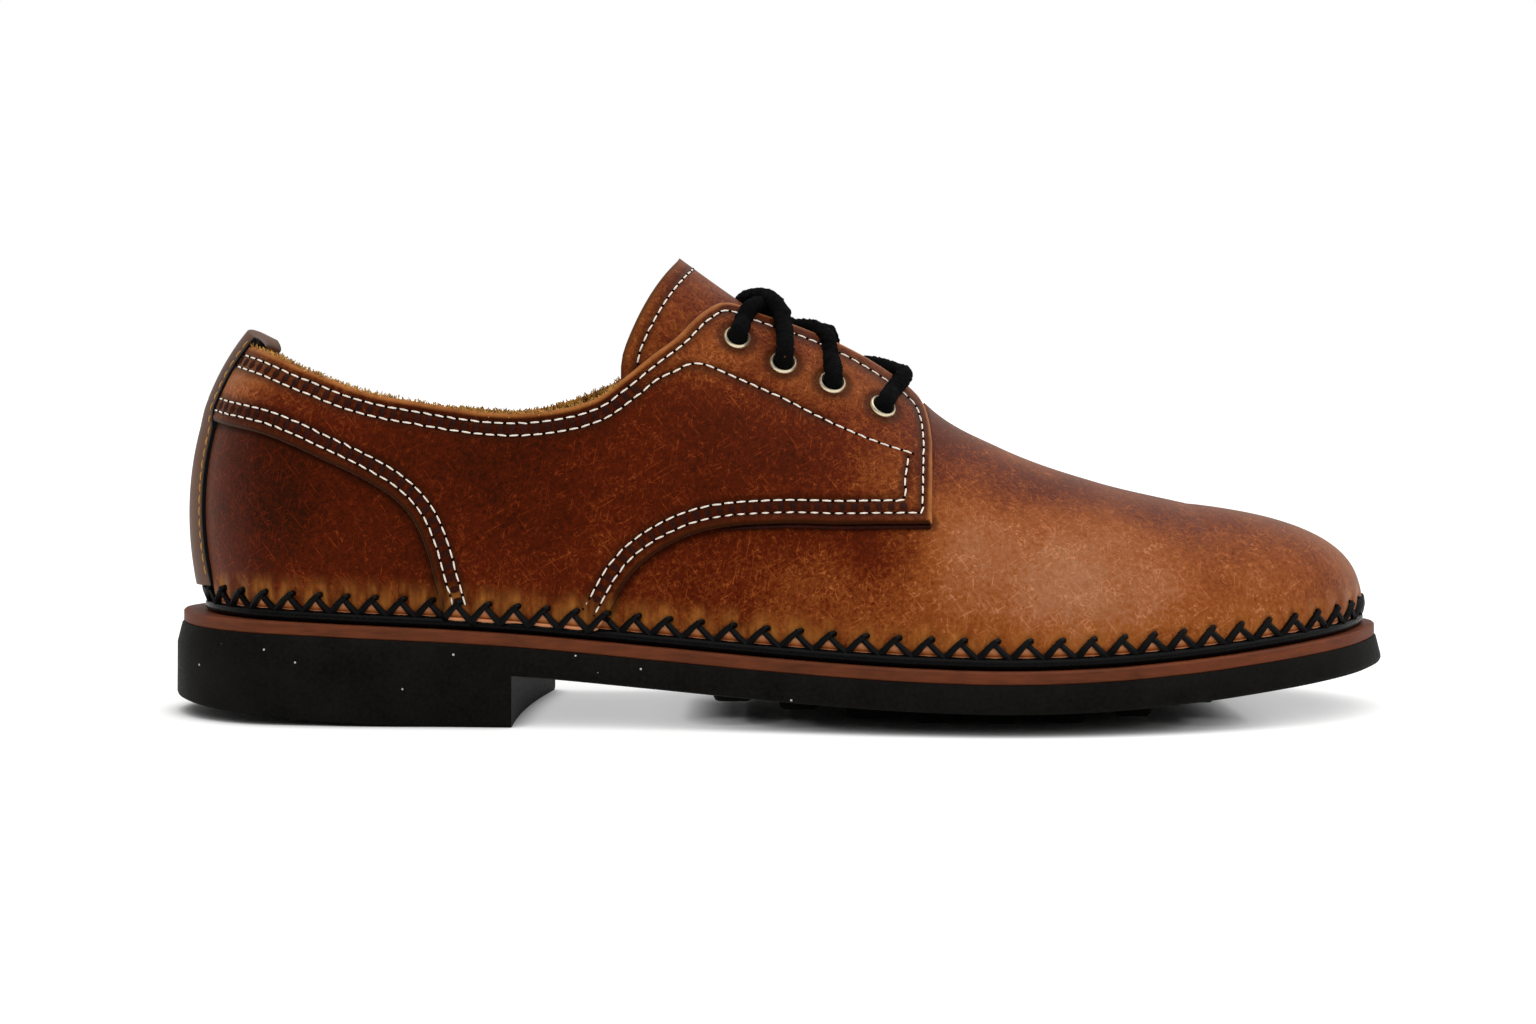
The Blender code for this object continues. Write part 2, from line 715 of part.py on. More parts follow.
def make_eyelet(name, centre, normal, finish, parent):
    """A flanged metal tube that stands in its hole through the facing."""
    base, top = EYELET_SEAT, EYELET_SEAT + EYELET_FLANGE_THICKNESS
    profile = [
        (EYELET_BORE_RADIUS, -WALL),
        (EYELET_BARREL_RADIUS, -WALL),
        (EYELET_BARREL_RADIUS, base),
        (EYELET_FLANGE_RADIUS, base),
        (EYELET_FLANGE_RADIUS - EYELET_FLANGE_THICKNESS / 2, top),
        (EYELET_BORE_RADIUS + EYELET_FLANGE_THICKNESS / 4, top),
    ]
    return turned("eyelet_" + name, profile, centre, normal, finish, parent)


def make_eyelet_cutter(frames):
    """Pins through all the eyelet holes, as one cutter."""
    vertices, faces = [], []
    for centre, normal in frames.values():
        work = bmesh.new()
        turn = normal.to_track_quat("Z", "Y").to_matrix().to_4x4()
        place = Matrix.Translation(centre - normal * WALL / 2) @ turn
        bmesh.ops.create_cone(
            work, cap_ends=True, segments=EYELET_SIDES, radius1=EYELET_HOLE_RADIUS,
            radius2=EYELET_HOLE_RADIUS, depth=3 * WALL, matrix=place,
        )
        work.verts.index_update()
        faces += [tuple(v.index + len(vertices) for v in face.verts) for face in work.faces]
        vertices += [v.co.copy() for v in work.verts]
        work.free()
    return helper(mesh_object("eyelet_holes", vertices, faces, None))


def crest_point(station, lift):
    """A point above the throat's middle line, lifted clear of the facings."""
    where = np.array([station])
    point = last_point(where, LATERAL, 1.0)[0]
    normal = last_normal(where, LATERAL, 1.0)[0] * (1, 0, 1)
    return Vector(point + normal / np.linalg.norm(normal) * lift)


def edge_point(station, side, lift):
    """A point above the edge of the facing."""
    where = np.array([station])
    t = top_turn(where, side)
    return Vector(last_point(where, side, t)[0] + last_normal(where, side, t)[0] * lift)


def through(points, count):
    """Points at even steps along a smooth curve through the route's own points."""
    route = np.array([tuple(p) for p in points])
    along = np.concatenate([[0], np.cumsum(np.linalg.norm(np.diff(route, axis=0), axis=1))])
    at = np.linspace(0, along[-1], count)
    return np.column_stack([smooth(along, route[:, k], at) for k in range(3)])


def cord(name, route, finish, parent):
    """A round cord along a route, with flat ends."""
    path = through(route, LACE_STEPS)
    along = np.gradient(path, axis=0)
    along /= np.linalg.norm(along, axis=1)[:, None]
    beside = np.cross(along, (1.0, 0.0, 0.0))
    beside /= np.linalg.norm(beside, axis=1)[:, None]
    above = np.cross(beside, along)
    angle = np.linspace(0, 2 * math.pi, LACE_SIDES, endpoint=False)[None, :, None]
    rings = path[:, None] + LACE_RADIUS * (beside[:, None] * np.cos(angle) + above[:, None] * np.sin(angle))
    count = LACE_SIDES
    faces = [
        (r * count + c, r * count + (c + 1) % count, (r + 1) * count + (c + 1) % count, (r + 1) * count + c)
        for r in range(LACE_STEPS - 1)
        for c in range(count)
    ]
    last = (LACE_STEPS - 1) * count
    faces += [tuple(range(count)), tuple(last + c for c in range(count))]
    return mesh_object(name, rings.reshape(-1, 3), faces, finish, parent)


def above_eyelet(frames, name):
    centre, normal = frames[name]
    return centre + normal * (EYELET_SEAT + EYELET_FLANGE_THICKNESS + GAP)


def bar_route(frames, row):
    """A lace bar straight across from one eyelet to its opposite."""
    station = EYELET_FIRST + (row - 1) * EYELET_PITCH
    route = []
    for side, letter in ((LATERAL, "lateral"), (MEDIAL, "medial")):
        start = above_eyelet(frames, f"{letter}_{row}")
        normal = frames[f"{letter}_{row}"][1]
        half = [start, start + normal * LACE_RISE, edge_point(station, side, LACE_EDGE_LIFT)]
        route += half if side == LATERAL else [crest_point(station, LACE_CREST_LIFT)] + half[::-1]
    return route


def cross_route(frames, row, side, lift):
    """A lace crossing from an eyelet over the throat to the far facing's edge, one row nearer the ankle."""
    letter = "lateral" if side == LATERAL else "medial"
    station = EYELET_FIRST + (row - 1) * EYELET_PITCH
    start = above_eyelet(frames, f"{letter}_{row}")
    normal = frames[f"{letter}_{row}"][1]
    return [
        start,
        start + normal * LACE_RISE,
        edge_point(station - LACE_LEAVES * EYELET_PITCH, side, LACE_EDGE_LIFT),
        crest_point(station - LACE_CROSSES * EYELET_PITCH, lift),
        edge_point(station - LACE_LANDS * EYELET_PITCH, -side, LACE_EDGE_LIFT),
    ]


def make_lace(frames, finish, parent):
    """Bars at the first and last eyelets, and two crossings between them, each one joined solid."""
    for row in (1, EYELET_COUNT):
        cord(f"lace_bar_{row}", bar_route(frames, row), finish, parent)
    for row in range(2, EYELET_COUNT):
        low = cross_route(frames, row, MEDIAL, LACE_CREST_LIFT)
        high = cross_route(frames, row, LATERAL, LACE_OVER_LIFT)
        under = helper(cord(f"lace_under_{row}", low, None, None))
        over = cord(f"lace_cross_{row}", high, finish, parent)
        boolean(over, under, "UNION")


def main():
    for old in list(bpy.data.objects):
        bpy.data.objects.remove(old)
    shoe = bpy.data.objects.new("shoe", None)
    bpy.context.scene.collection.objects.link(shoe)
    leather = material("brown_pull_up_leather", (0.13, 0.035, 0.012), 0.45)
    strip = material("dark_brown_leather", (0.08, 0.04, 0.022), 0.5)
    midsole = material("brown_sole_leather", (0.11, 0.033, 0.016), 0.6)
    rubber = material("black_rubber", (0.008, 0.007, 0.006), 0.65)
    tan = material("tan_lining_leather", (0.35, 0.17, 0.05), 0.8)
    brass = material("antique_brass", (0.45, 0.36, 0.2), 0.35, 1.0)
    cotton = material("black_waxed_cotton", (0.01, 0.01, 0.01), 0.7)
    frames = eyelet_frames()
    make_outsole(rubber, shoe)
    make_midsole(midsole, shoe)
    make_insole(tan, shoe)
    make_upper(leather, shoe, make_eyelet_cutter(frames))
    make_tongue(leather, shoe)
    make_back_strip(strip, shoe)
    for name, (centre, normal) in frames.items():
        make_eyelet(name, centre, normal, brass, shoe)
    make_lace(frames, cotton, shoe)


main()
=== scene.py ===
"""Looks of one right open-laced derby shoe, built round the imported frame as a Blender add-on.

Every piece of the upper is a numpy surface on one last. A place on the last is a station along the
shoe, a side and a turn t, which runs from 0 at the sole's seam to 1 on the crest.
"""

import functools
import math

import bmesh
import bpy
import numpy as np
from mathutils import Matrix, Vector
from bpy.props import FloatProperty, FloatVectorProperty, IntProperty, PointerProperty


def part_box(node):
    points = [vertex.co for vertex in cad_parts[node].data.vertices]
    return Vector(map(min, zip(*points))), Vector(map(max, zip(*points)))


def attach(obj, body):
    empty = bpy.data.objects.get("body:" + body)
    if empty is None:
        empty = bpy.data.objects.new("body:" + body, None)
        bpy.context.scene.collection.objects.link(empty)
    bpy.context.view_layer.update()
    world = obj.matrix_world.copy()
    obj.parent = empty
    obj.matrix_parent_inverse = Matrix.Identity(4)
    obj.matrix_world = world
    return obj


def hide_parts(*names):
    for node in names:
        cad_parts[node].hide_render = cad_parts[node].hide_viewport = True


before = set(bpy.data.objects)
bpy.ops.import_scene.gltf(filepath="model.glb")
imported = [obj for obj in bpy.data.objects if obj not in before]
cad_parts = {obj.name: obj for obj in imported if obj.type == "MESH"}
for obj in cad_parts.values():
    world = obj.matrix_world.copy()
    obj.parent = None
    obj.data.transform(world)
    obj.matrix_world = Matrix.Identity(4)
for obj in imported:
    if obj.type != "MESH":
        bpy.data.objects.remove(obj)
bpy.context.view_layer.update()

bl_info = {
    "name": "Open-laced derby shoe",
    "version": (1, 0, 0),
    "blender": (4, 5, 0),
    "location": "3D View > Sidebar > Shoe",
    "description": "Builds the leather, stitching, lace and sole of a derby shoe round its frame",
    "category": "Object",
}

MM = 0.001
LATERAL, MEDIAL = -1, 1
SIDES = (LATERAL, MEDIAL)
SIDE_NAMES = ("lateral", "medial")
HALVINGS = 30
SETTLE_STEPS = 3
WELD = 1e-6
SHARP_EDGE = math.radians(38)

# Sole, the same tables as the part's source: half widths and welt heights in millimetres
SOLE_OUTLINE_COLUMNS = ("station", "lateral", "medial")
SOLE_OUTLINE = [
    (-146, 17.5, 17.5),
    (-132, 29.5, 29.5),
    (-108, 34.7, 34.3),
    (-75, 36.4, 33.6),
    (-40, 39.2, 31.8),
    (-5, 45.2, 35.0),
    (28, 51.0, 44.5),
    (56, 53.0, 51.0),
    (82, 50.0, 53.0),
    (108, 42.0, 50.0),
    (128, 31.0, 42.0),
    (143, 16.0, 29.0),
]
HEEL_TIP, TOE_TIP = (-152, 0), (152, 6)
OUTLINE_POINTS = 1440
# Points that the closed outline is wrapped past its start, for a smooth join
OUTLINE_WRAP = 3
WELT_COLUMNS = ("station", "height")
WELT_LINE = [
    (-152, 25.4),
    (-110, 24.0),
    (-64, 21.8),
    (-30, 19.1),
    (4, 16.6),
    (29, 15.3),
    (52, 14.8),
    (74, 15.3),
    (97, 16.8),
    (121, 18.9),
    (152, 21.4),
]
LUGS = [(-12, 4.2), (4, 2.6), (20, 0.9), (36, 0), (52, 0), (68, 0), (84, 1.2), (100, 4.0)]
MIDSOLE_THICKNESS = 3.0 * MM
PLATE_THICKNESS = 6.7 * MM
HEEL_BREAST = -62.5 * MM
# Heel's front face across the shoe: millimetres ahead of the breast as a + b y + c y y
BREAST_CURVE = (-1.57, 0.056, 0.0015)
BREAST_FADE = 34 * MM
ACROSS_FLOOR = 9
BREAST_CLEAR = 0.004
HEEL_FLAT_END = -92 * MM
HEEL_REAR_RISE = 4.2 * MM
HEEL_RISE_POWER = 1.25
SOLE_STEPS = 220
TIP_POWER = 16
LUG_HALF_LENGTH = 4.75 * MM
LUG_TAPER = 1.2 * MM
LUG_EDGE_MARGIN = 15 * MM
LUG_END_TAPER = 5 * MM
LUG_BITE = 1.5 * MM
LUG_AROUND = 24
LUG_ROUND = 0.3
# Rings of a tread bar from the plate down: share of the drop, share of the taper and scale
LUG_RINGS = [(0, 0, 0), (0, 0, 1), (0.8, 0.8, 1), (0.95, 0.95, 0.97), (1, 1, 0.9), (1, 1, 0)]
INSOLE_MARGIN = 2.9 * MM
INSOLE_THICKNESS = 3.0 * MM
# Profiles of the sole's layers from the middle out over the edge and back: inset of the outline and
# height above the layer's top or foot, in millimetres
MIDSOLE_TOP = [(12, 0), (2.0, 0), (1.6, -0.4)]
MIDSOLE_FOOT = [(1.6, 0.3), (1.9, 0), (12, 0)]
INSOLE_TOP = [(8, 0), (0.8, 0), (0, -0.8)]
INSOLE_FOOT = [(0, 0.3), (8, 0.3)]
PLATE_TOP = [(12, 0), (1.6, 0), (1.2, -0.4)]
PLATE_FLANK = [(0.05, 1.6)]
PLATE_FOOT = [(0, 0.9), (0.25, 0.3), (0.9, 0), (12, 0)]

# Last
FEATHER_MARGIN = 5.3 * MM
FEATHER_MARGIN_HEEL = 9.0 * MM
FEATHER_MARGIN_TOE = 6.5 * MM
FEATHER_END_SHARE = 0.16
HEEL_CENTRE = (-117 * MM, 0)
TOE_CENTRE = (103 * MM, 4 * MM)
HEEL_FAN = 40 * MM
TOE_FAN = 60 * MM
HEEL_END = HEEL_CENTRE[0] - HEEL_FAN
TOE_END = TOE_CENTRE[0] + TOE_FAN
WALL_TURN = 0.33
REACH_STEPS = 900
# Cross-sections: crest height, lean and rise of the wall above the seam, and the shoulder's
# distance out and drop below the crest
SECTION_COLUMNS = ("station", "crest", "lean", "rise", "shoulder", "drop")
SECTIONS = [
    (-117, 105, 6.0, 33, 23.5, 8.0),
    (-81, 121, 2.5, 28, 24.0, 4.0),
    (-41, 124, 1.5, 34, 26.0, 8.0),
    (-10, 104.9, 0.8, 36, 21.5, 3.0),
    (4, 99.2, 0.8, 36, 20.0, 1.0),
    (17, 93.0, 1.0, 33, 20.5, 0.5),
    (29, 83.6, 1.2, 29, 21.5, 0),
    (38.5, 74.4, 2.0, 24, 23.5, 0),
    (55, 65.3, 3.0, 19, 26.5, 0),
    (80, 56.4, 3.5, 17, 28.0, 0),
    (103, 51.0, 3.4, 14, 29.5, 0.4),
]
HEEL_BACK_SECTION = (105, 9.8, 35, 23.3, 10.9)
TOE_TIP_SECTION = (51.0, 5.0, 14, 39.6, 4.0)

# Top edge of the quarters, and the hidden top edge of the vamp leather under the facings
COLLAR_COLUMNS = ("station", "lateral", "medial", "vamp")
COLLAR = [
    (-157, 93.0, 93.0, 92.0),
    (-143, 91.4, 91.2, 90.6),
    (-130, 89.0, 86.4, 88.2),
    (-117, 85.2, 81.4, 84.4),
    (-105, 80.9, 77.7, 80.1),
    (-92, 77.6, 75.6, 76.8),
    (-80, 75.8, 75.1, 75.0),
    (-68, 74.5, 74.6, 73.7),
    (-56, 74.8, 77.0, 74.0),
    (-46, 77.4, 81.0, 76.6),
    (-39, 82.2, 85.6, 80.4),
    (-30, 89.5, 91.2, 82.5),
    (-22.5, 96.3, 96.9, 81.0),
    (-17, 101, 101, 79.0),
    (-10, 106, 106, 76.0),
    (4, 110, 110, 71.0),
    (20, 110, 110, 65.0),
    (40, 110, 110, 58.0),
]
VAMP_FRONT = 36 * MM
# Least height of a quarter's top edge above the vamp leather under it
VAMP_SHORT = 0.9 * MM
# Stations on the heel's fan, the quarters, the vamp and the toe's fan
VAMP_STEPS = (48, 142, 62, 64)
# Rows up the vamp below and above a share of its height, and over its crown
VAMP_LOW_SHARE = 0.3
VAMP_ROWS = (20, 40)
CROWN_ROWS = 16
VAMP_BARE = 0.6
# Distance in millimetres that keeps a finish clear of an edge, and of the sole's seam
FAR_FROM_EDGE = 9.0
FAR_FROM_SEAM = 90.0

# Edges of a quarter from the heel to the front, as seen from the side: lower edge, then upper edge
QUARTER_COLUMNS = ("low_station", "low_height", "high_station", "high_height")
QUARTER = [
    (-150, 73.2, -150, 92.4),
    (-140.8, 72.0, -140.8, 91.2),
    (-124, 69.1, -126, 88.5),
    (-112.4, 64.2, -114, 84.4),
    (-100.7, 58.8, -103, 80.3),
    (-93.8, 54.7, -96, 78.5),
    (-88.0, 48.6, -88, 77.1),
    (-84.7, 41.1, -81, 75.9),
    (-82.6, 33.6, -75.5, 75.1),
    (-81.2, 29.0, -73, 74.8),
    (-80.3, 25.2, -71, 74.6),
    (-63.0, 24.3, -60, 74.5),
    (-44.0, 22.8, -47, 77.0),
    (-41.6, 26.8, -44.6, 78.0),
    (-37.4, 34.2, -38.6, 82.4),
    (-32.6, 39.5, -31.5, 88.3),
    (-26.4, 43.5, -25.5, 93.0),
    (-20.2, 46.1, -21.2, 97.6),
    (-15.4, 47.2, -17.8, 100.4),
    (-11.0, 47.8, -14.8, 101.8),
    (-6.5, 48.1, -11.0, 101.4),
    (-2.0, 48.3, -6.5, 99.6),
    (3.6, 48.4, 4.3, 95.9),
    (13.0, 48.2, 16.7, 90.5),
    (22.9, 48.3, 27.0, 84.3),
    (28.0, 48.3, 32.3, 80.2),
    (31.0, 48.3, 35.0, 77.0),
    (33.5, 48.3, 36.3, 72.6),
    (35.2, 48.2, 36.6, 67.5),
]
COUNTER_ROWS = 11
FACING_ROW = 12
QUARTER_STEP = 1.0 * MM
QUARTER_ROWS = 34
EDGE_ROWS = (0, 0.25, 0.6, 1.1, 1.8, 2.6, 3.6, 4.8, 6.0)
EDGE_ROUND = 0.9 * MM
EDGE_FALL = 0.55 * MM
LAYER_GAP = 0.1 * MM
ROW_KEEP = 0.96
EYELET_HOLE = 2.5 * MM
# Distance in millimetres from an eyelet's centre within which a painted shade ring, for the dimple round it,
# stays darkest
EYELET_SHADE_RING = 3.9
# Paleness of a quarter's lower cut edge: kept low for a painted shade, as that edge faces down
LOW_EDGE_PALENESS_IN_SHADE = 0.1
EDGE_SHADOW = 0.9
LADDER_COLLAR_END = -34 * MM
LOW_EDGE_GAP = 0.45 * MM
LOW_EDGE_REACH = 3.5 * MM
LOW_EDGE_RISE = (-36 * MM, -10 * MM)
# Samples along a quarter's edges: fine, for its rim and front, for its length and for its shadow
EDGE_SAMPLES = 900
RIM_SAMPLES = 500
FRONT_SAMPLES = 24
LENGTH_SAMPLES = 400
SHADOW_SAMPLES = 120
COVER_MARGIN = 0.5 * MM

# Stitch rows that leave the edges, as seen from the side
FACING_ROW_POINTS = [
    (-25.4, 84.6), (-23.2, 85.8), (-20.8, 86.2), (-18.4, 85.8), (-15.4, 84.6),
    (-11.5, 82.9), (-0.6, 78.1), (11.4, 72.1), (23.4, 67.1), (32.4, 64.2),
]
FRONT_ROW_POINTS = [(30.1, 63.7), (29.1, 58.4), (28.7, 54.4)]
# Where rows stop: short of the seam, of the facing's row and of the front row
ROW_END_GAP = 0.6 * MM
LADDER_END_GAP = 3 * MM
FACING_ROW_GAP = 5 * MM
FRONT_ROW_GAP = 0.4 * MM


def linear(value):
    """Linear colour of an sRGB hex value."""
    channels = np.array([int(value[k : k + 2], 16) for k in (1, 3, 5)]) / 255
    return tuple(np.where(channels <= 0.04045, channels / 12.92, ((channels + 0.055) / 1.055) ** 2.4))


def colour(name, description, value):
    """A colour setting from an sRGB hex value."""
    return FloatVectorProperty(
        name=name, description=description, default=linear(value), subtype="COLOR", min=0, max=1
    )


def length(name, description, value):
    """A length setting in metres."""
    return FloatProperty(name=name, description=description, default=value, unit="LENGTH", precision=5)


class ShoeSizes(bpy.types.PropertyGroup):
    leather: length("Leather", "Thickness of one layer of the upper's leather", 1.6 * MM)
    cut_height: length("Cut edge", "Height of the leather's lower edge above the midsole", 2.2 * MM)
    thread_pitch: length("Thread pitch", "From one thread stitch to the next", 2.9 * MM)
    thread_length: length("Thread stitch", "Length of thread that shows in one stitch", 2.45 * MM)
    thread_width: length("Thread width", "Width of a thread stitch", 0.46 * MM)
    row_one: length("First row", "From an edge to its first row of stitches", 2.5 * MM)
    row_two: length("Second row", "From an edge to its second row of stitches", 5.4 * MM)
    cord: length("Seam cord", "Thickness of the waxed cord round the sole's seam", 1.5 * MM)
    cord_rise: length("Cord height", "Height of the cord's points above the midsole", 6.2 * MM)
    lace: length("Lace", "Thickness of the lace", 4.3 * MM)
    cord_stitches: IntProperty(
        name="Cord stitches", description="Points of cord round the shoe", default=88, min=20
    )


class ShoeColours(bpy.types.PropertyGroup):
    leather_deep: colour("Deep leather", "Leather in its darkest places", "#220601")
    leather_dark: colour("Dark leather", "Leather of the counter and quarter", "#4e1303")
    leather_mid: colour("Middle leather", "Leather at the facing", "#84441a")
    leather_light: colour("Light leather", "Leather of the vamp", "#986547")
    leather_pulled: colour("Pulled leather", "Leather that the seam stretches", "#b87634")
    raw_edge: colour("Raw edge", "Cut edge of the leather", "#a06230")
    lining: colour("Lining", "Lining leather", "#c2924c")
    strip: colour("Back strip", "Leather of the back strip", "#573620")
    thread: colour("Thread", "Stitching thread", "#f3eadb")
    cord: colour("Cord", "Waxed cord", "#060505")
    lace: colour("Lace", "Cotton lace", "#060606")
    brass: colour("Brass", "Eyelets", "#6e6649")
    midsole: colour("Midsole", "Leather midsole", "#5e2e17")
    rubber: colour("Rubber", "Outsole", "#0d0c0a")
    floor: colour("Floor", "Studio floor", "#c8c8c7")


# Tables and curves


def column(rows, columns, name):
    """A table's named column."""
    return np.array([row[columns.index(name)] for row in rows], float)


def smooth(stations, values, at):
    """Cubic through a table's rows, each row's slope taken from its neighbours."""
    at = np.asarray(at, float)
    slopes = np.gradient(values, stations)
    i = np.clip(np.searchsorted(stations, at) - 1, 0, len(stations) - 2)
    span = stations[i + 1] - stations[i]
    t = np.clip((at - stations[i]) / span, 0, 1)
    start = (1 + 2 * t) * (1 - t) ** 2 * values[i] + t * (1 - t) ** 2 * slopes[i] * span
    return start + t * t * (3 - 2 * t) * values[i + 1] - t * t * (1 - t) * slopes[i + 1] * span


def read_table(rows, columns, name, at):
    """A table's named column at places along the shoe, in metres."""
    return MM * smooth(column(rows, columns, "station"), column(rows, columns, name), np.asarray(at) / MM)


def chords(path):
    """Length along a path at each of its points."""
    steps = np.linalg.norm(np.diff(path, axis=0), axis=1)
    return np.concatenate([[0], np.cumsum(steps)])


def along_path(path, at):
    """Smooth curve through a path's points, read at lengths along its chords."""
    return np.stack([smooth(chords(path), path[:, k], at) for k in range(path.shape[1])], -1)


def unit(vectors):
    """Vectors divided by their lengths."""
    return vectors / np.linalg.norm(vectors, axis=-1, keepdims=True)


def ease(low, high, value):
    """0 below low, 1 above high and a smooth rise between."""
    t = np.clip((value - low) / (high - low), 0, 1)
    return t * t * (3 - 2 * t)


def sole_outline():
    """Smooth closed outline of the tread, from the heel's tip along the lateral side."""
    stations = column(SOLE_OUTLINE, SOLE_OUTLINE_COLUMNS, "station")
    lateral = np.column_stack([stations, -column(SOLE_OUTLINE, SOLE_OUTLINE_COLUMNS, "lateral")])
    medial = np.column_stack([stations, column(SOLE_OUTLINE, SOLE_OUTLINE_COLUMNS, "medial")])
    ring = np.vstack([[HEEL_TIP], lateral, [TOE_TIP], medial[::-1]])
    padded = np.vstack([ring[-OUTLINE_WRAP:], ring, ring[: OUTLINE_WRAP + 1]])
    start, end = chords(padded)[[OUTLINE_WRAP, OUTLINE_WRAP + len(ring)]]
    return MM * along_path(padded, np.linspace(start, end, OUTLINE_POINTS, endpoint=False))


def inset(outline, margin):
    """The outline moved inwards by a margin."""
    inward = unit(np.roll(outline, -1, axis=0) - np.roll(outline, 1, axis=0)) @ np.array([[0, 1], [-1, 0]])
    return outline + inward * np.broadcast_to(margin, len(outline))[:, None]


def welt_height(x):
    """Height of the midsole's upper face along the shoe."""
    return read_table(WELT_LINE, WELT_COLUMNS, "height", x)


# Last


def feather_outline():
    """Where the upper meets the sole, seen from above."""
    tread = sole_outline()
    share = (tread[:, 0] - tread[:, 0].min()) / np.ptp(tread[:, 0])
    heel = np.clip(1 - share / FEATHER_END_SHARE, 0, 1) ** 2
    toe = np.clip(1 - (1 - share) / FEATHER_END_SHARE, 0, 1) ** 2
    margin = FEATHER_MARGIN + heel * (FEATHER_MARGIN_HEEL - FEATHER_MARGIN)
    return inset(tread, margin + toe * (FEATHER_MARGIN_TOE - FEATHER_MARGIN))


def spine(station, side):
    """Plan point on the middle line, the outward direction there and the turn of the end fans."""
    x = np.clip(station, HEEL_CENTRE[0], TOE_CENTRE[0])
    y = np.interp(x, [HEEL_CENTRE[0], TOE_CENTRE[0]], [HEEL_CENTRE[1], TOE_CENTRE[1]])
    heel_turn = np.clip((HEEL_CENTRE[0] - station) / HEEL_FAN, 0, 1)
    toe_turn = np.clip((station - TOE_CENTRE[0]) / TOE_FAN, 0, 1)
    angle = (toe_turn - heel_turn) * math.pi / 2
    return np.stack([x, y], -1), np.stack([np.sin(angle), side * np.cos(angle)], -1), heel_turn, toe_turn


def cast(station, side, outline):
    """Distance from the middle line out to an outline."""
    centre, direction = (part[:, None] for part in spine(station, side)[:2])
    edge = (np.roll(outline, -1, axis=0) - outline)[None]
    to = outline[None] - centre
    across = direction[..., 0] * edge[..., 1] - direction[..., 1] * edge[..., 0]
    distance = (to[..., 0] * edge[..., 1] - to[..., 1] * edge[..., 0]) / across
    share = (to[..., 0] * direction[..., 1] - to[..., 1] * direction[..., 0]) / across
    return np.where((share >= 0) & (share <= 1) & (distance > 0), distance, 0).max(axis=1)


REACH_STATIONS = np.linspace(HEEL_END, TOE_END, REACH_STEPS)
REACH = {side: cast(REACH_STATIONS, side, feather_outline()) for side in SIDES}


def section_value(name, station, heel_turn, toe_turn):
    """A column of the section table, blended into the end sections where the stations fan out."""
    value = read_table(SECTIONS, SECTION_COLUMNS, name, station)
    place = SECTION_COLUMNS.index(name) - 1
    for turn, end in ((heel_turn, HEEL_BACK_SECTION[place]), (toe_turn, TOE_TIP_SECTION[place])):
        value = value + np.sin(turn * math.pi / 2) ** 2 * (end * MM - value)
    return value


def last_frame(station, side):
    """Plan frame of each section and the four control points of its curve, as distance out and height."""
    station, side = np.broadcast_arrays(np.asarray(station, float), side)
    centre, out, heel_turn, toe_turn = spine(station, side)
    half = np.where(side < 0, *(np.interp(station, REACH_STATIONS, REACH[each]) for each in SIDES))
    crest, lean, rise, shoulder, drop = (
        section_value(name, station, heel_turn, toe_turn) for name in SECTION_COLUMNS[1:]
    )
    foot = welt_height(centre[..., 0] + out[..., 0] * half)
    distance = np.stack([half, half + lean, shoulder, 0 * half], -1)
    return centre, out, distance, np.stack([foot, foot + rise, crest - drop, crest], -1)


def bezier(points, t):
    """Cubic curve of four control points."""
    a, b, c, d = np.moveaxis(points, -1, 0)
    return (1 - t) ** 3 * a + 3 * t * (1 - t) ** 2 * b + 3 * t * t * (1 - t) * c + t**3 * d


def last_point(station, side, t):
    """Point on the last: the section's curve at t, set out sideways from the middle line."""
    centre, out, distance, height = last_frame(station, side)
    return np.concatenate([centre + out * bezier(distance, t)[..., None], bezier(height, t)[..., None]], -1)


def last_normal(station, side, t, step=0.2 * MM, turn=0.002):
    """Outward normal, from differences along and across the surface."""
    station = np.clip(station, HEEL_END + step, TOE_END - step)
    t = np.clip(t, turn, 1 - 10 * turn)
    along = last_point(station + step, side, t) - last_point(station - step, side, t)
    across = last_point(station, side, t + turn) - last_point(station, side, t - turn)
    return unit(np.asarray(side)[..., None] * np.cross(across, along))


def find(curve, target, low, high):
    """Where a rising curve reaches the target, by halving."""
    low, high = np.full(np.shape(target), float(low)), np.full(np.shape(target), float(high))
    for _ in range(HALVINGS):
        middle = (low + high) / 2
        below = curve(middle) < target
        low, high = np.where(below, middle, low), np.where(below, high, middle)
    return (low + high) / 2


def turn_at_height(station, side, height):
    """Turn at which a section's curve reaches a height."""
    points = last_frame(station, side)[3]
    return find(lambda t: bezier(points, t), np.broadcast_to(height, points.shape[:-1]), 0, 1)


def turn_at_distance(station, side, r):
    """Turn above the wall at which a section's curve comes in to a distance from the middle line."""
    points = last_frame(station, side)[2]
    return find(lambda t: -bezier(points, t), -np.broadcast_to(r, points.shape[:-1]), WALL_TURN, 1)


def settle(station, side, height, lift):
    """Station and turn under points that stand a lift above the last and are seen at a station and height."""
    under, below = station, height
    straight = (station > HEEL_CENTRE[0]) & (station < TOE_CENTRE[0])
    for _ in range(SETTLE_STEPS):
        normal = last_normal(under, side, turn_at_height(under, side, below))
        under = station - np.where(straight, lift * normal[..., 0], 0)
        below = height - lift * normal[..., 2]
    return under, turn_at_height(under, side, below)


def on_leather(station, side, height, lift):
    """Points a lift above the last that are seen at a station and height, and their normals."""
    side = np.broadcast_to(side, np.shape(station))
    under, t = settle(station, side, height, lift)
    normal = last_normal(under, side, t)
    return last_point(under, side, t) + normal * np.broadcast_to(lift, np.shape(station))[..., None], normal


# Seam round the sole: cord stitches are counted from the heel's back along the lateral side


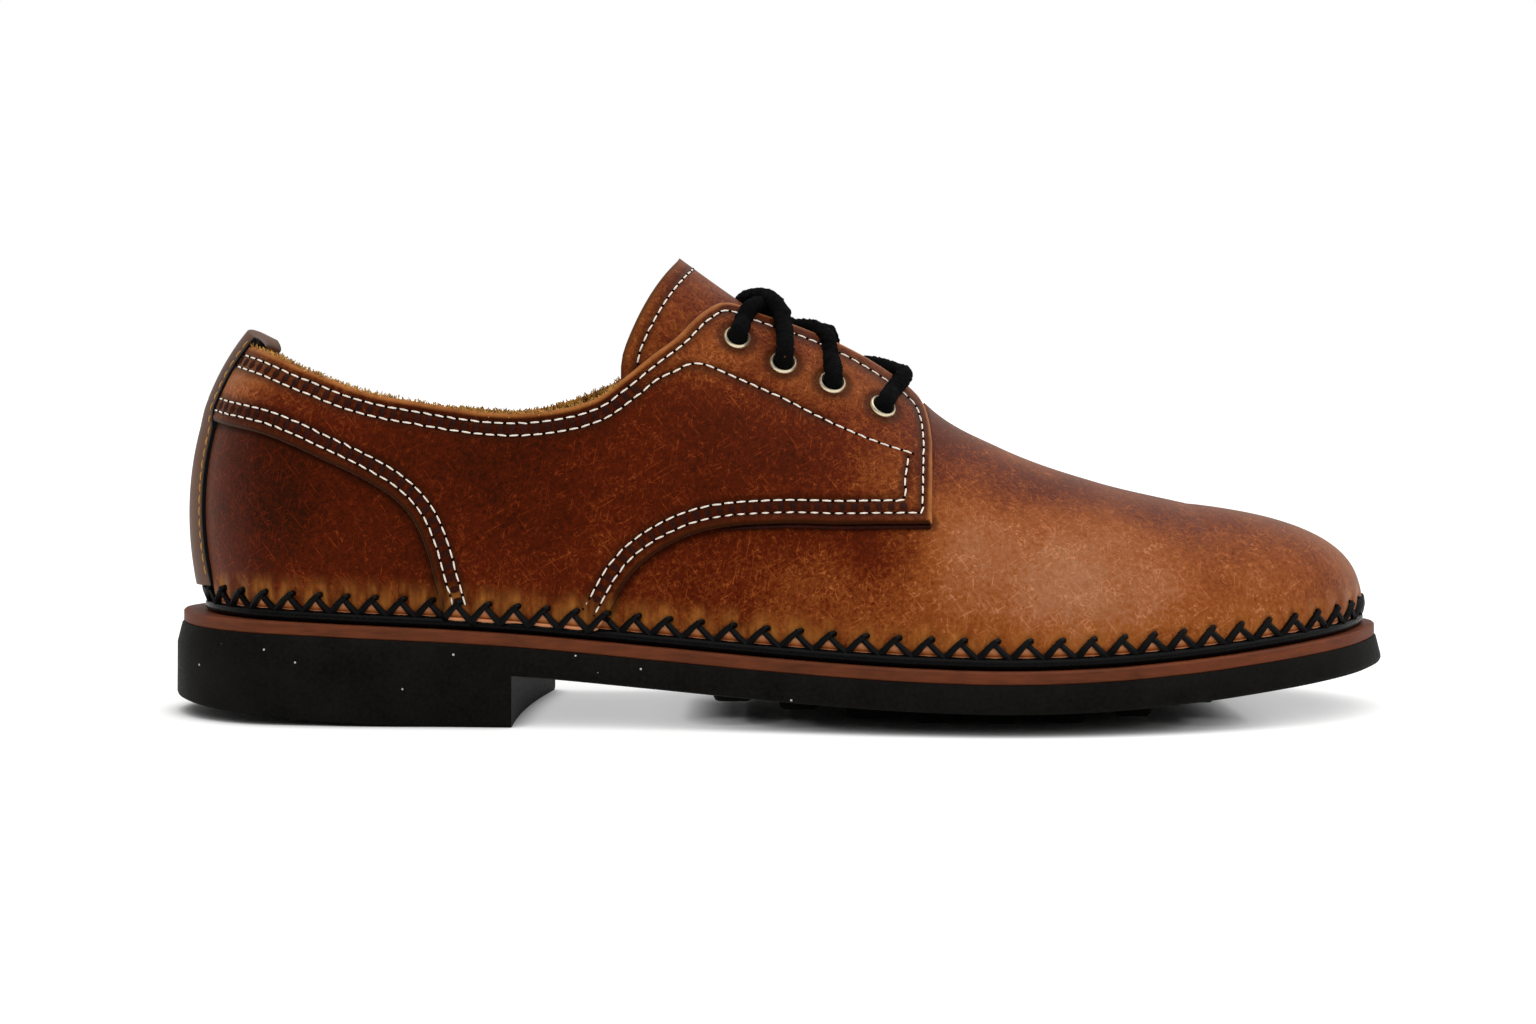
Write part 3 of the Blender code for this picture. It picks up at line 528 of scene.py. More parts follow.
PITCH_COLUMNS = ("station", "pitch")
SEAM_PITCH = [
    (-157, 6.6), (-115, 6.7), (-60, 6.9), (-40, 7.2), (-8, 7.8),
    (25, 7.5), (65, 7.4), (82, 7.2), (104, 7.7), (163, 8.4),
]
SEAM_START = 0.57


def seam_ring():
    """Stations once round the shoe, and the share of all the cord stitches up to each: the sum of length
    over local pitch."""
    stations = np.concatenate([REACH_STATIONS, REACH_STATIONS[-2::-1]])
    sides = np.repeat(SIDES, [REACH_STEPS, REACH_STEPS - 1])
    pitch = read_table(SEAM_PITCH, PITCH_COLUMNS, "pitch", stations)
    steps = np.diff(chords(last_point(stations, sides, 0.0))) / pitch[1:]
    shares = np.concatenate([[0], np.cumsum(steps)])
    return stations, shares / shares[-1]


SEAM_STATIONS, SEAM_SHARES = seam_ring()


def seam_count(station, side, stitches):
    """Number of cord stitches up to a station."""
    split = REACH_STEPS - 1
    lateral = np.interp(station, SEAM_STATIONS[: split + 1], SEAM_SHARES[: split + 1])
    medial = np.interp(station, SEAM_STATIONS[split:][::-1], SEAM_SHARES[split:][::-1])
    return SEAM_START + np.where(side < 0, lateral, medial) * stitches


def seam_place(count, stitches):
    """Station and side after a number of cord stitches."""
    share = np.mod((count - SEAM_START) / stitches, 1)
    station = np.interp(share, SEAM_SHARES, SEAM_STATIONS)
    return station, np.where(share <= SEAM_SHARES[REACH_STEPS - 1], LATERAL, MEDIAL)


def cover_lift(station, height, leather):
    """Height of the outer leather above the last: one layer more where a quarter comes down to the seam."""
    low_station = column(QUARTER, QUARTER_COLUMNS, "low_station") * MM
    low_height = column(QUARTER, QUARTER_COLUMNS, "low_height") * MM
    edge = np.interp(station, low_station, low_height)
    return np.where(height > edge - COVER_MARGIN, leather + LAYER_GAP, 0)


# Meshes


def grid_faces(rows, columns, first=0, closed=False):
    """Quads of a grid of points that is stored row by row."""
    i = np.arange(rows - 1)[:, None] * columns
    j = np.arange(columns if closed else columns - 1)[None]
    k = (j + 1) % columns
    return first + np.stack([i + j, i + k, i + columns + k, i + columns + j], -1).reshape(-1, 4)


def many_faces(count, rows, columns, closed=True):
    """Quads of many like grids, stored one after another."""
    return np.concatenate([grid_faces(rows, columns, k * rows * columns, closed) for k in range(count)])


def add_piece(name, points, faces, finishes, nodes=(), values=None, close=False, picks=None):
    """A piece of the shoe from arrays of points and quads, welded, with its finishes by name, riding on the
    body and standing for CAD nodes."""
    mesh = bpy.data.meshes.new(name)
    mesh.vertices.add(points.size // 3)
    mesh.vertices.foreach_set("co", points.astype(np.float32).ravel())
    mesh.loops.add(faces.size)
    mesh.loops.foreach_set("vertex_index", faces.astype(np.int32).ravel())
    mesh.polygons.add(len(faces))
    mesh.polygons.foreach_set("loop_start", np.arange(0, faces.size, 4, dtype=np.int32))
    if picks is not None:
        mesh.polygons.foreach_set("material_index", picks.astype(np.int32))
    for key, value in (values or {}).items():
        layer = mesh.attributes.new(key, "FLOAT", "POINT")
        layer.data.foreach_set("value", np.asarray(value, np.float32).ravel())
    mesh.update(calc_edges=True)
    work = bmesh.new()
    work.from_mesh(mesh)
    bmesh.ops.remove_doubles(work, verts=work.verts, dist=WELD)
    bmesh.ops.dissolve_degenerate(work, edges=work.edges, dist=WELD)
    if close:
        bmesh.ops.recalc_face_normals(work, faces=work.faces)
    work.to_mesh(mesh)
    work.free()
    mesh.shade_smooth()
    mesh.set_sharp_from_angle(angle=SHARP_EDGE)
    for each in finishes:
        mesh.materials.append(finish(each))
    piece = bpy.data.objects.new(name, mesh)
    bpy.context.scene.collection.objects.link(piece)
    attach(piece, "root")
    if nodes:
        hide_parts(*nodes)
    return piece


def give_thickness(piece, thickness, even=True):
    """A wall inwards from a sheet: its lining takes the second material and its cut edge the third."""
    wall = piece.modifiers.new("thickness", "SOLIDIFY")
    wall.thickness = thickness
    wall.offset = -1
    wall.use_even_offset = even
    wall.material_offset = 1
    wall.material_offset_rim = 2


def tube(path, radius, sides, guide):
    """Rings square to a path: each point is the path plus the radius turned from the guide round the path."""
    along = unit(np.gradient(path, axis=-2))
    across = unit(guide - (guide * along).sum(-1, keepdims=True) * along)
    up = np.cross(along, across)
    angle = np.linspace(0, 2 * math.pi, sides, endpoint=False)[:, None]
    spread = np.cos(angle) * across[..., None, :] + np.sin(angle) * up[..., None, :]
    return path[..., None, :] + np.broadcast_to(radius, path.shape[:-1])[..., None, None] * spread


def distance_to(points, path):
    """Shortest distance from points to a path of straight pieces."""
    best = np.full(points.shape[:-1], np.inf)
    for start, end in zip(path[:-1], path[1:]):
        step = end - start
        share = np.clip((points - start) @ step / max(step @ step, 1e-18), 0, 1)
        best = np.minimum(best, np.linalg.norm(points - start - share[..., None] * step, axis=-1))
    return best


# Materials


def node(tree, kind, inputs=(), stops=(), **fields):
    """Adds a node. Inputs, by number or name, are values or the nodes that feed them; stops are the colours
    of a ramp."""
    made = tree.nodes.new("ShaderNode" + kind)
    for key, value in fields.items():
        setattr(made, key, value)
    for place, _ in stops[2:]:
        made.color_ramp.elements.new(place)
    for element, (place, shown) in zip(made.color_ramp.elements if stops else (), stops):
        element.position, element.color = place, (*shown, 1)
    for key, value in inputs.items() if isinstance(inputs, dict) else enumerate(inputs):
        if isinstance(value, bpy.types.Node):
            value = next(socket for socket in value.outputs if socket.enabled)
        if isinstance(value, bpy.types.NodeSocket):
            tree.links.new(value, made.inputs[key])
        else:
            made.inputs[key].default_value = (*value, 1) if made.inputs[key].type == "RGBA" else value
    return made


def new_finish(name, **sockets):
    """A material with its shader's constants set, a call that adds nodes to it, its shader and its
    coordinates."""
    material = bpy.data.materials.new(name)
    material.use_nodes = True
    add = functools.partial(node, material.node_tree)
    shader = material.node_tree.nodes["Principled BSDF"]
    for socket, value in sockets.items():
        shader.inputs[socket.replace("_", " ")].default_value = value
    return material, add, shader, add("TexCoord").outputs["Object"]


def feed(shader, **sources):
    """Links nodes to the shader's sockets."""
    for socket, source in sources.items():
        output = next(each for each in source.outputs if each.enabled)
        shader.id_data.links.new(output, shader.inputs[socket.replace("_", " ")])


def per(millimetres):
    """Scale of a texture whose features are that far apart."""
    return 1 / (millimetres * MM)


def shade(value, share):
    """A colour made darker or lighter by a share."""
    return tuple(min(1.0, channel * share) for channel in value)


def noise(add, place, scale, detail, roughness=0.5):
    """A cloudy texture at a scale, with its detail and roughness."""
    return add("TexNoise", {"Vector": place, "Scale": scale, "Detail": detail, "Roughness": roughness})


def tinted(add, share, body, tint):
    """A colour that turns into another by a share."""
    return add("Mix", {0: share, 6: body, 7: tint}, data_type="RGBA")


def faded(add, value, by, *span):
    """A value times another one that is mapped from its first two limits to its last two."""
    return add("Math", (value, add("MapRange", (by, *span))), operation="MULTIPLY")


WAX_TINT = (1.0, 0.42, 0.16)
BLOOM_TINT = (0.8, 0.62, 0.42)


def pull_up_leather(name, colours):
    """Waxed pull-up cowhide: deep red-brown, paler where it is bent or rubbed, with a waxy broad shine,
    cloudy patches, fine grain, hair-thin crackle and light scratches. Its colour also holds painted light: a
    highlight and sheen in the tone, shade along stitch rows, round eyelets and at a quarter's lower edge, and
    light on the leather between the seam's cords."""
    material, add, shader, place = new_finish(
        name, Specular_IOR_Level=0.12, IOR=1.5, Specular_Tint=(*WAX_TINT, 1),
        Sheen_Weight=0.18, Sheen_Roughness=0.4, Sheen_Tint=(*BLOOM_TINT, 1),
    )
    step = {"interpolation_type": "SMOOTHSTEP"}
    tone, row, edge, edge_paleness, rise, count = (
        add("Attribute", attribute_name=key).outputs["Fac"]
        for key in ("tone", "row", "edge", "edge_paleness", "rise", "stitch")
    )
    cloud = noise(add, place, per(24), 6, 0.66)
    grain = noise(add, place, per(1.1), 5, 0.8)
    tone = add("Math", (tone, add("MapRange", (cloud, 0.25, 0.75, -0.15, 0.15))), operation="ADD")
    tone = add("Math", (tone, add("MapRange", (grain, 0.3, 0.7, -0.2, 0.2))), operation="ADD")
    body = add("ValToRGB", (tone,), [
        (0, colours.leather_deep), (0.33, colours.leather_dark),
        (0.66, colours.leather_mid), (1, colours.leather_light),
    ])
    # Crackle: short curled lines, the level lines of a noise broken up by another, in patches
    patch = noise(add, place, per(9), 3)
    crackle = noise(add, place, per(3.4), 2, 0.6)
    crackle = add("Math", (add("Math", (crackle, 6.0), operation="MULTIPLY"), 0.5), operation="PINGPONG")
    crackle = add("MapRange", (crackle, 0.02, 0.15, 1, 0), **step)
    broken = noise(add, place, per(2.8), 1)
    crackle = faded(add, crackle, broken, 0.46, 0.56, 0, 1)
    crackle = faded(add, crackle, patch, 0.36, 0.62, 0.2, 0.85)
    crackle = faded(add, crackle, tone, 0.15, 0.55, 0.55, 1)
    pale = add("ValToRGB", (tone,), [
        (0.15, shade(colours.leather_dark, 2.0)), (0.45, shade(colours.leather_mid, 1.4)),
        (0.9, shade(colours.leather_light, 1.75)),
    ])
    body = tinted(add, crackle, body, pale)
    # Hair-thin scratches: noise stretched along three directions and cut off near its top
    for turn, width, spread in ((0.5, 0.3, 6), (-0.9, 0.35, 8), (1.4, 0.28, 5)):
        streak = add("Mapping", {"Vector": place, "Rotation": (0, turn, 0)})
        streak = add("Mapping", {"Vector": streak, "Scale": (per(spread), per(spread), per(width))})
        streak = noise(add, streak, 1.0, 1)
        streak = add("MapRange", (streak, 0.65, 0.78, 0, 0.65), **step)
        body = tinted(add, streak, body, pale)
    # Stitch rows: a dark, puckered line, its dark partly painted shade in the groove. The same row attribute
    # also carries a painted shade ring round each eyelet and a painted shadow on the vamp under a quarter's
    # lower edge
    dark = add("MapRange", (row, 0.2, 2.4, 0.7, 0), **step)
    body = tinted(add, dark, body, colours.leather_deep)
    # Cut edge of a panel: rubbed pale where it is worn bare, dark elsewhere; on the quarters' lower edges,
    # which face down, the dark is painted shade
    rub = add("MapRange", (edge, 0.5, 1.6, 1, 0), **step)
    rub = faded(add, rub, patch, 0.35, 0.6, 0.4, 0.95)
    worn_and_shaded_edge = tinted(add, edge_paleness, colours.leather_deep, colours.raw_edge)
    body = tinted(add, rub, body, worn_and_shaded_edge)
    # Leather beside a cut edge that isn't bare is darkened: edge dye, and on the quarters' lower edges
    # painted shade
    edge_dye_and_shade = add("MapRange", (edge, 0.2, 1.3, 0.9, 0), **step)
    edge_dye_and_shade = faded(add, edge_dye_and_shade, edge_paleness, 0.1, 0.6, 1, 0)
    body = tinted(add, edge_dye_and_shade, body, colours.leather_deep)
    # Sole's seam: leather pulled pale in flares over the points of the cord
    phase = add("Math", (count, 0.5), operation="PINGPONG")
    flare = add("Mapping", {"Vector": place, "Scale": (per(2), per(2), per(9))})
    flare = noise(add, flare, 1.0, 3)
    glow = add("MapRange", (rise, 4.5, 12.5, 1, 0), **step)
    glow = faded(add, glow, tone, 0.35, 0.75, 1, 0.4)
    glow = faded(add, glow, phase, 0, 0.5, 0.3, 1)
    glow = faded(add, glow, flare, 0.35, 0.65, 0.1, 0.9)
    body = tinted(add, glow, body, colours.leather_pulled)
    # Windows between the cords: a pale lip, a dark crease above it painted as shade, then leather painted
    # pale where it puffs out to the light
    window_painted_light = add("Math", (phase, 8.2, 2.0), operation="MULTIPLY_ADD")
    window_painted_light = add("Math", (window_painted_light, rise), operation="SUBTRACT")
    window_painted_light = add("MapRange", (window_painted_light, -0.4, 0.4, 0, 0.9), **step)
    low = add("ValToRGB", (add("Math", (rise, 0.1), operation="MULTIPLY"),), [
        (0.29, shade(colours.leather_light, 2.3)), (0.32, colours.leather_dark), (0.35, colours.leather_mid),
        (0.45, shade(colours.leather_light, 2.1)),
    ])
    body = tinted(add, window_painted_light, body, low)
    pores = add("TexVoronoi", {"Vector": place, "Scale": per(0.9)}, feature="SMOOTH_F1")
    pits = add("Math", (pores, 0.25), operation="MULTIPLY")
    height = add("Math", (grain, 0.7, pits), operation="MULTIPLY_ADD")
    height = add("Math", (crackle, -0.8, height), operation="MULTIPLY_ADD")
    height = add("Math", (height, add("MapRange", (row, 0, 1.5, -2.2, 0), **step)), operation="ADD")
    bump = add("Bump", {"Height": height, "Strength": 0.4, "Distance": 0.3 * MM})
    feed(shader, Base_Color=body, Roughness=add("MapRange", (grain, 0.3, 0.7, 0.42, 0.58)), Normal=bump)
    return material


# Distance between grains of dust, in millimetres, and how far a floor's glow is kept from what stands on it
DUST_PITCH = 7
GLOW_REACH = 10 * MM


def speckled(
    name, dark, light, size, roughness, specular=0.2, depth=0.2, stretch=(1, 1, 1), sheen=0.0,
    border=None, dust=None, glow=0.0,
):
    """A finish of two colours clouded together at one grain size in millimetres, with a bump of the same
    grain. A border is an attribute, its value inside and outside the border, and the colour there. Dust is
    the colour of scattered grains. Glow is light that the surface gives off where it lies open."""
    material, add, shader, place = new_finish(
        name, Specular_IOR_Level=specular, Sheen_Weight=sheen, Emission_Color=(1, 1, 1, 1)
    )
    grain = add("Mapping", {"Vector": place, "Scale": stretch})
    grain = noise(add, grain, per(size), 4, 0.65)
    cloud = noise(add, place, per(size * 9), 2)
    blend = add("Mix", {0: 0.35, 2: grain, 3: cloud})
    body = add("ValToRGB", (blend,), [(0.34, dark), (0.66, light)])
    if border:
        key, inside, outside, shown = border
        band = add("Attribute", attribute_name=key).outputs["Fac"]
        band = add("MapRange", (band, inside, outside, 1, 0))
        body = tinted(add, band, body, shown)
    if glow:
        open_sky = add("AmbientOcclusion", {"Distance": GLOW_REACH}).outputs["AO"]
        painted_glow = add("MapRange", (open_sky, 0.3, 0.9, 0, glow), interpolation_type="SMOOTHSTEP")
        feed(shader, Emission_Strength=painted_glow)
    if dust:
        speck = add("TexVoronoi", {"Vector": place, "Scale": per(DUST_PITCH)})
        speck = add("MapRange", (speck, 0.03, 0.045, 1, 0))
        body = tinted(add, speck, body, dust)
    bump = add("Bump", {"Height": grain, "Strength": 0.5, "Distance": depth * MM})
    rough = add("MapRange", (grain, 0.3, 0.7, roughness - 0.08, roughness + 0.08))
    feed(shader, Base_Color=body, Roughness=rough, Normal=bump)
    return material


def antique_brass(name, colours):
    """Antique brass, stamped and tumbled: a worn bright rim with brown tarnish in the hollows."""
    material, add, shader, place = new_finish(name, Metallic=1.0)
    tarnish = noise(add, place, per(1.5), 4)
    body = add("ValToRGB", (tarnish,), [(0.46, shade(colours.brass, 0.1)), (0.56, shade(colours.brass, 1.3))])
    feed(shader, Base_Color=body, Roughness=add("MapRange", (tarnish, 0.3, 0.7, 0.32, 0.14)))
    return material


def finish(name):
    """A material of the shoe by name, made the first time that it is asked for."""
    if name in bpy.data.materials:
        return bpy.data.materials[name]
    hue = bpy.context.scene.shoe_colours
    if name == "waxed_pull_up_leather":
        return pull_up_leather(name, hue)
    if name == "antique_brass":
        return antique_brass(name, hue)
    base, low, high, size, roughness, more = {
        # Cut leather: open tan fibres, no shine, dyed dark where it isn't worn bare, and on the quarters'
        # lower edges, which face down, dark with painted shade
        "cut_leather_edge": (
            hue.raw_edge, 0.4, 1.3, 0.7, 0.8,
            {"specular": 0.1, "border": ("edge_paleness", 0.1, 0.9, hue.leather_deep)},
        ),
        # Suede: a soft nap that lights up at a glance
        "tan_suede_lining": (hue.lining, 0.7, 1.1, 1.2, 0.85, {"specular": 0.1, "sheen": 0.1}),
        # Loose fibres of a cut edge: dry and golden
        "golden_leather_fibre": (hue.lining, 0.2, 1.2, 1.4, 0.9, {"specular": 0.05}),
        # Insole leather: smooth vegetable-tanned skin
        "tan_insole_leather": (hue.lining, 0.65, 0.95, 3.0, 0.6, {}),
        # Leather rubbed grey-brown by handling, dyed black along its edges
        "burnished_strip_leather": (
            hue.strip, 0.5, 1.35, 1.8, 0.5, {"specular": 0.12, "border": ("edge", 0.3, 0.5, hue.cord)},
        ),
        # Edge dye and wax: black with a dull shine
        "black_burnished_edge": (hue.cord, 0.8, 2.0, 0.8, 0.45, {"specular": 0.1}),
        # Waxed linen thread: tight, a little glossy
        "cream_waxed_thread": (hue.thread, 0.75, 1.0, 0.5, 0.6, {}),
        # The same thread rubbed brown on the back strip
        "tan_waxed_thread": (hue.lining, 0.45, 1.1, 0.5, 0.6, {}),
        # Leather pressed dark between two rows of thread, the dark partly painted shade in its creases
        "pressed_dark_leather": (hue.leather_deep, 0.5, 2.2, 0.9, 0.6, {"specular": 0.08}),
        # Needle hole: a dark bead beside the thread, painted shade for a pit that is not cut
        "needle_hole_painted_shade": (hue.leather_deep, 0.15, 0.4, 0.5, 0.8, {"specular": 0.05}),
        # Waxed cord: black, with glints along its length
        "black_waxed_cord": (hue.cord, 0.5, 1.5, 0.6, 0.3, {"specular": 0.07}),
        # Cotton braid: matt black with loose fibres
        "black_cotton_lace": (
            hue.lace, 0.5, 2.2, 0.4, 0.95, {"specular": 0.05, "depth": 0.6, "dust": hue.strip},
        ),
        # Edge of sole leather: sanded along its length and stained
        "brown_midsole_leather": (
            hue.midsole, 0.65, 1.3, 1.2, 0.6, {"specular": 0.12, "stretch": (0.15, 0.15, 1)},
        ),
        # Moulded rubber: black, dusty and matt
        "black_sole_rubber": (
            hue.rubber, 0.4, 1.7, 0.9, 0.6, {"specular": 0.04, "dust": shade(hue.floor, 0.8)},
        ),
        # Matt card that glows where it lies open: painted light that lifts its shadows to an even pale
        # ground, kept off next to what stands on it
        "matt_floor_card_painted_glow": (hue.floor, 0.98, 1.0, 40, 0.9, {"specular": 0.0, "depth": 0.0, "glow": 0.5}),
    }[name]
    return speckled(name, shade(base, low), shade(base, high), size, roughness, **more)


# Upper


# Face, lining and cut edge of a sheet of the upper
UPPER_FINISHES = ("waxed_pull_up_leather", "tan_suede_lining", "cut_leather_edge")


def oval(x, y, spot):
    """A soft oval spot: an amount in its middle that falls off as a bell curve over its half sizes."""
    at_x, at_y, wide, tall, amount = spot
    return amount * np.exp(-(((x - at_x) / wide) ** 2) - ((y - at_y) / tall) ** 2)


def upper_tones_and_painted_light(points, spots, ground):
    """Lightness of the leather, its own tone mixed with painted light: a ground value plus soft oval spots.
    """
    x, z = points[..., 0] / MM, points[..., 2] / MM
    total = np.full(x.shape, float(ground))
    for spot in spots:
        total += oval(x, z, spot)
    return total


# Spots of a panel, as seen from the side: station, height, half length, half height and amount. They mix
# the leather's own uneven tone with painted light: on the vamp the broad pale spot low on its side is a
# painted highlight and the long pale band along the crest a painted sheen; on the quarter the pale spot at
# the back of the collar is a painted sheen.
VAMP_GROUND = 0.27
VAMP_TONE_AND_LIGHT_SPOTS = [
    (66, 40, 30, 17, 0.48),
    (82, 28, 34, 13, 0.3),
    (128, 32, 22, 20, 0.3),
    (20, 28, 34, 11, 0.2),
    (44, 68, 16, 9, -0.12),
    (42, 50, 12, 13, 0.24),
    (68, 56, 18, 6, -0.1),
    (92, 50, 18, 6, -0.06),
    (80, 66, 60, 8, 0.12),
    (-110, 34, 26, 9, 0.06),
    (-118, 54, 26, 18, -0.2),
    (-150, 56, 9, 30, 0.14),
]
QUARTER_GROUND = 0.24
QUARTER_TONE_AND_LIGHT_SPOTS = [
    (15, 84, 26, 9, 0.24),
    (-20, 92, 16, 10, 0.26),
    (26, 56, 14, 12, 0.22),
    (-100, 84, 60, 7, 0.1),
    (-138, 84, 16, 10, 0.5),
    (28, 70, 9, 8, 0.14),
    (-66, 62, 26, 16, -0.1),
    (-35, 40, 14, 10, 0.08),
    (-62, 34, 12, 8, 0.1),
]


def upper_stations():
    """Stations from the heel's back to the toe's tip, about a millimetre apart."""
    bends = [HEEL_END, HEEL_CENTRE[0], VAMP_FRONT, TOE_CENTRE[0], TOE_END]
    runs = [np.linspace(a, b, n, endpoint=False) for a, b, n in zip(bends, bends[1:], VAMP_STEPS)]
    return np.concatenate([*runs, [TOE_END]])


def seam_values(station, side, points, stitches):
    """Stitch count round the seam and height above the midsole in millimetres, for the seam's finish."""
    rise = (points[..., 2] - last_frame(station, side)[3][..., 0]) / MM
    return {"stitch": seam_count(station, side, stitches), "rise": rise}


# Pull of the cord on the leather: share of a stitch, height above the midsole, the reach of both, and amount
CORD_SWELLING = (0, 6.8, 0.25, 3.0, 0.4)
CORD_WINDOW = (0.5, 2.6, 0.22, 1.5, 0.5)
CORD_DIMPLE = (0.6, 6.7, 0.12, 1.3, 0.7)


def pucker(values):
    """Lift of the leather at the cord: a swelling on each side of a stitch and one in its window, less a
    dimple under its point."""
    phase, rise = np.mod(values["stitch"], 1), values["rise"]
    swelling = oval(np.minimum(phase, 1 - phase), rise, CORD_SWELLING)
    return MM * (swelling + oval(phase, rise, CORD_WINDOW) - oval(phase, rise, CORD_DIMPLE))


class SHOE_OT_vamp(bpy.types.Operator):
    """Vamp and counter: the leather sheet next to the foot, closed over the toe, with its lining"""

    bl_idname = "shoe.vamp"
    bl_label = "Vamp and counter"

    def execute(self, context):
        sizes = context.scene.shoe_sizes
        stations = upper_stations()
        station = np.concatenate([stations, stations[-2:0:-1]])
        side = np.repeat(SIDES, [len(stations), len(stations) - 2])
        foot = last_frame(station, side)[3][:, 0]
        low = turn_at_height(station, side, foot + sizes.cut_height)
        top, medial = (read_table(COLLAR, COLLAR_COLUMNS, name, station) for name in ("vamp", "medial"))
        top = np.where(side == MEDIAL, np.minimum(top, medial - VAMP_SHORT), top)
        high = turn_at_height(station, side, top)
        share = np.linspace(0, VAMP_LOW_SHARE, VAMP_ROWS[0], endpoint=False)
        share = np.concatenate([share, np.linspace(VAMP_LOW_SHARE, 1, VAMP_ROWS[1])])
        crown = np.flatnonzero(station >= VAMP_FRONT - WELD)
        over = np.linspace(0, 1, CROWN_ROWS)[:, None]
        grids = [
            (station, side, low + (high - low) * share[:, None]),
            (station[crown], side[crown], high[crown] + (1 - high[crown]) * over),
        ]
        edge = quarter_edges(LATERAL, np.linspace(0, 1, SHADOW_SAMPLES))[0]
        values = {key: [] for key in ("tone", "stitch", "rise", "row", "edge", "edge_paleness")}
        points, faces, first = [], [], 0
        for k, (at, on, t) in enumerate(grids):
            at, on = np.broadcast_to(at, t.shape), np.broadcast_to(on, t.shape)
            sheet = last_point(at, on, t)
            seam = seam_values(at, on, sheet, sizes.cord_stitches)
            sheet = sheet + last_normal(at, on, t) * pucker(seam)[..., None]
            points.append(sheet.reshape(-1, 3))
            faces.append(grid_faces(*t.shape, first, closed=k == 0))
            first += t.size
            seam["tone"] = upper_tones_and_painted_light(sheet, VAMP_TONE_AND_LIGHT_SPOTS, VAMP_GROUND)
            # Painted shadow on the vamp under a quarter's lower edge, carried in the row attribute
            seam["row"] = EDGE_SHADOW * distance_to(sheet[..., ::2], edge) / MM
            seam["edge"] = np.full(t.shape, FAR_FROM_EDGE)
            seam["edge_paleness"] = np.full(t.shape, VAMP_BARE)
            for key, value in seam.items():
                values[key].append(value.ravel())
        values = {key: np.concatenate(value) for key, value in values.items()}
        piece = add_piece(
            "vamp_and_counter", np.concatenate(points), np.concatenate(faces), UPPER_FINISHES,
            ["upper"], values,
        )
        give_thickness(piece, sizes.leather)
        return {"FINISHED"}


def quarter_edges(side, steps):
    """Lower and upper edge of a quarter at even steps from the heel to the front, as station and height."""
    table = MM * np.array(QUARTER, float)
    medial = read_table(COLLAR, COLLAR_COLUMNS, "medial", table[:, 2])
    if side == MEDIAL:
        table[:, 3] += medial - read_table(COLLAR, COLLAR_COLUMNS, "lateral", table[:, 2])
    lengths = (chords(table[:, :2]) + chords(table[:, 2:])) / 2
    read = np.stack([smooth(lengths, table[:, k], lengths[-1] * steps) for k in range(4)], -1)
    cut = last_frame(read[:, 0], side)[3][:, 0] + bpy.context.scene.shoe_sizes.cut_height
    read[:, 1] = np.maximum(read[:, 1], cut)
    return read[:, :2], read[:, 2:]


def quarter_rim(side):
    """Edge of a quarter as one path: along the top, down the front and back along the lower edge."""
    lower, upper = quarter_edges(side, np.linspace(0, 1, RIM_SAMPLES))
    front = upper[-1] + (lower[-1] - upper[-1]) * np.linspace(0, 1, FRONT_SAMPLES)[1:-1, None]
    return lower, upper, np.vstack([upper, front, lower[::-1]])


def beside(path, distance):
    """A flat path moved to its right by a distance."""
    along = unit(np.gradient(path, axis=0))
    return path + distance * np.stack([along[:, 1], -along[:, 0]], -1)


def stitch_rows(side, sizes):
    """Rows of stitches on one quarter as flat paths of station and height."""
    lower, upper, rim = quarter_rim(side)
    one, two = sizes.row_one, sizes.row_two
    stations = column(QUARTER, QUARTER_COLUMNS, "low_station") * MM
    counter = lower[lower[:, 0] < stations[COUNTER_ROWS - 1] - ROW_END_GAP]
    vamp_end = len(rim) - np.argmax(lower[:, 0] > stations[FACING_ROW] + ROW_END_GAP)
    apron = lower[lower[:, 0] > stations[FACING_ROW] + ROW_END_GAP][::-1]
    first = beside(rim[:vamp_end], one)
    first = first[distance_to(first, rim) > ROW_KEEP * one]
    collar = beside(upper, two)
    collar = collar[collar[:, 0] < FACING_ROW_POINTS[0][0] * MM - FACING_ROW_GAP]
    second = beside(apron, two)
    second = second[second[:, 0] < FRONT_ROW_POINTS[-1][0] * MM - FRONT_ROW_GAP]
    return [
        first,
        np.vstack([collar, MM * np.array(FACING_ROW_POINTS)]),
        np.vstack([MM * np.array(FRONT_ROW_POINTS), second]),
        beside(counter, -one),
        beside(counter, -two),
    ]


def ladder_rows(side, sizes):
    """Flat paths halfway between the rows that run in pairs, where the leather is pressed and its creases get
    painted shade.
    """
    lower, upper, _ = quarter_rim(side)
    between = (sizes.row_one + sizes.row_two) / 2
    stations = column(QUARTER, QUARTER_COLUMNS, "low_station") * MM
    counter = lower[lower[:, 0] < stations[COUNTER_ROWS - 1] - ROW_END_GAP]
    apron = lower[lower[:, 0] > stations[FACING_ROW] + LADDER_END_GAP][::-1]
    collar = beside(upper, between)
    second = beside(apron, between)
    return [
        collar[collar[:, 0] < LADDER_COLLAR_END],
        second[second[:, 0] < FRONT_ROW_POINTS[-1][0] * MM],
        beside(counter, -between),
    ]


# Layer under a quarter that shows below its lower front edge
LAP_FROM = -16 * MM
LAP_DROP = 0.75 * MM
LAP_LIFT = 0.45 * MM
LAP_RADIUS = 0.6 * MM
LAP_STEPS = 90
LAP_TAPER = 5
LAP_SIDES = 8


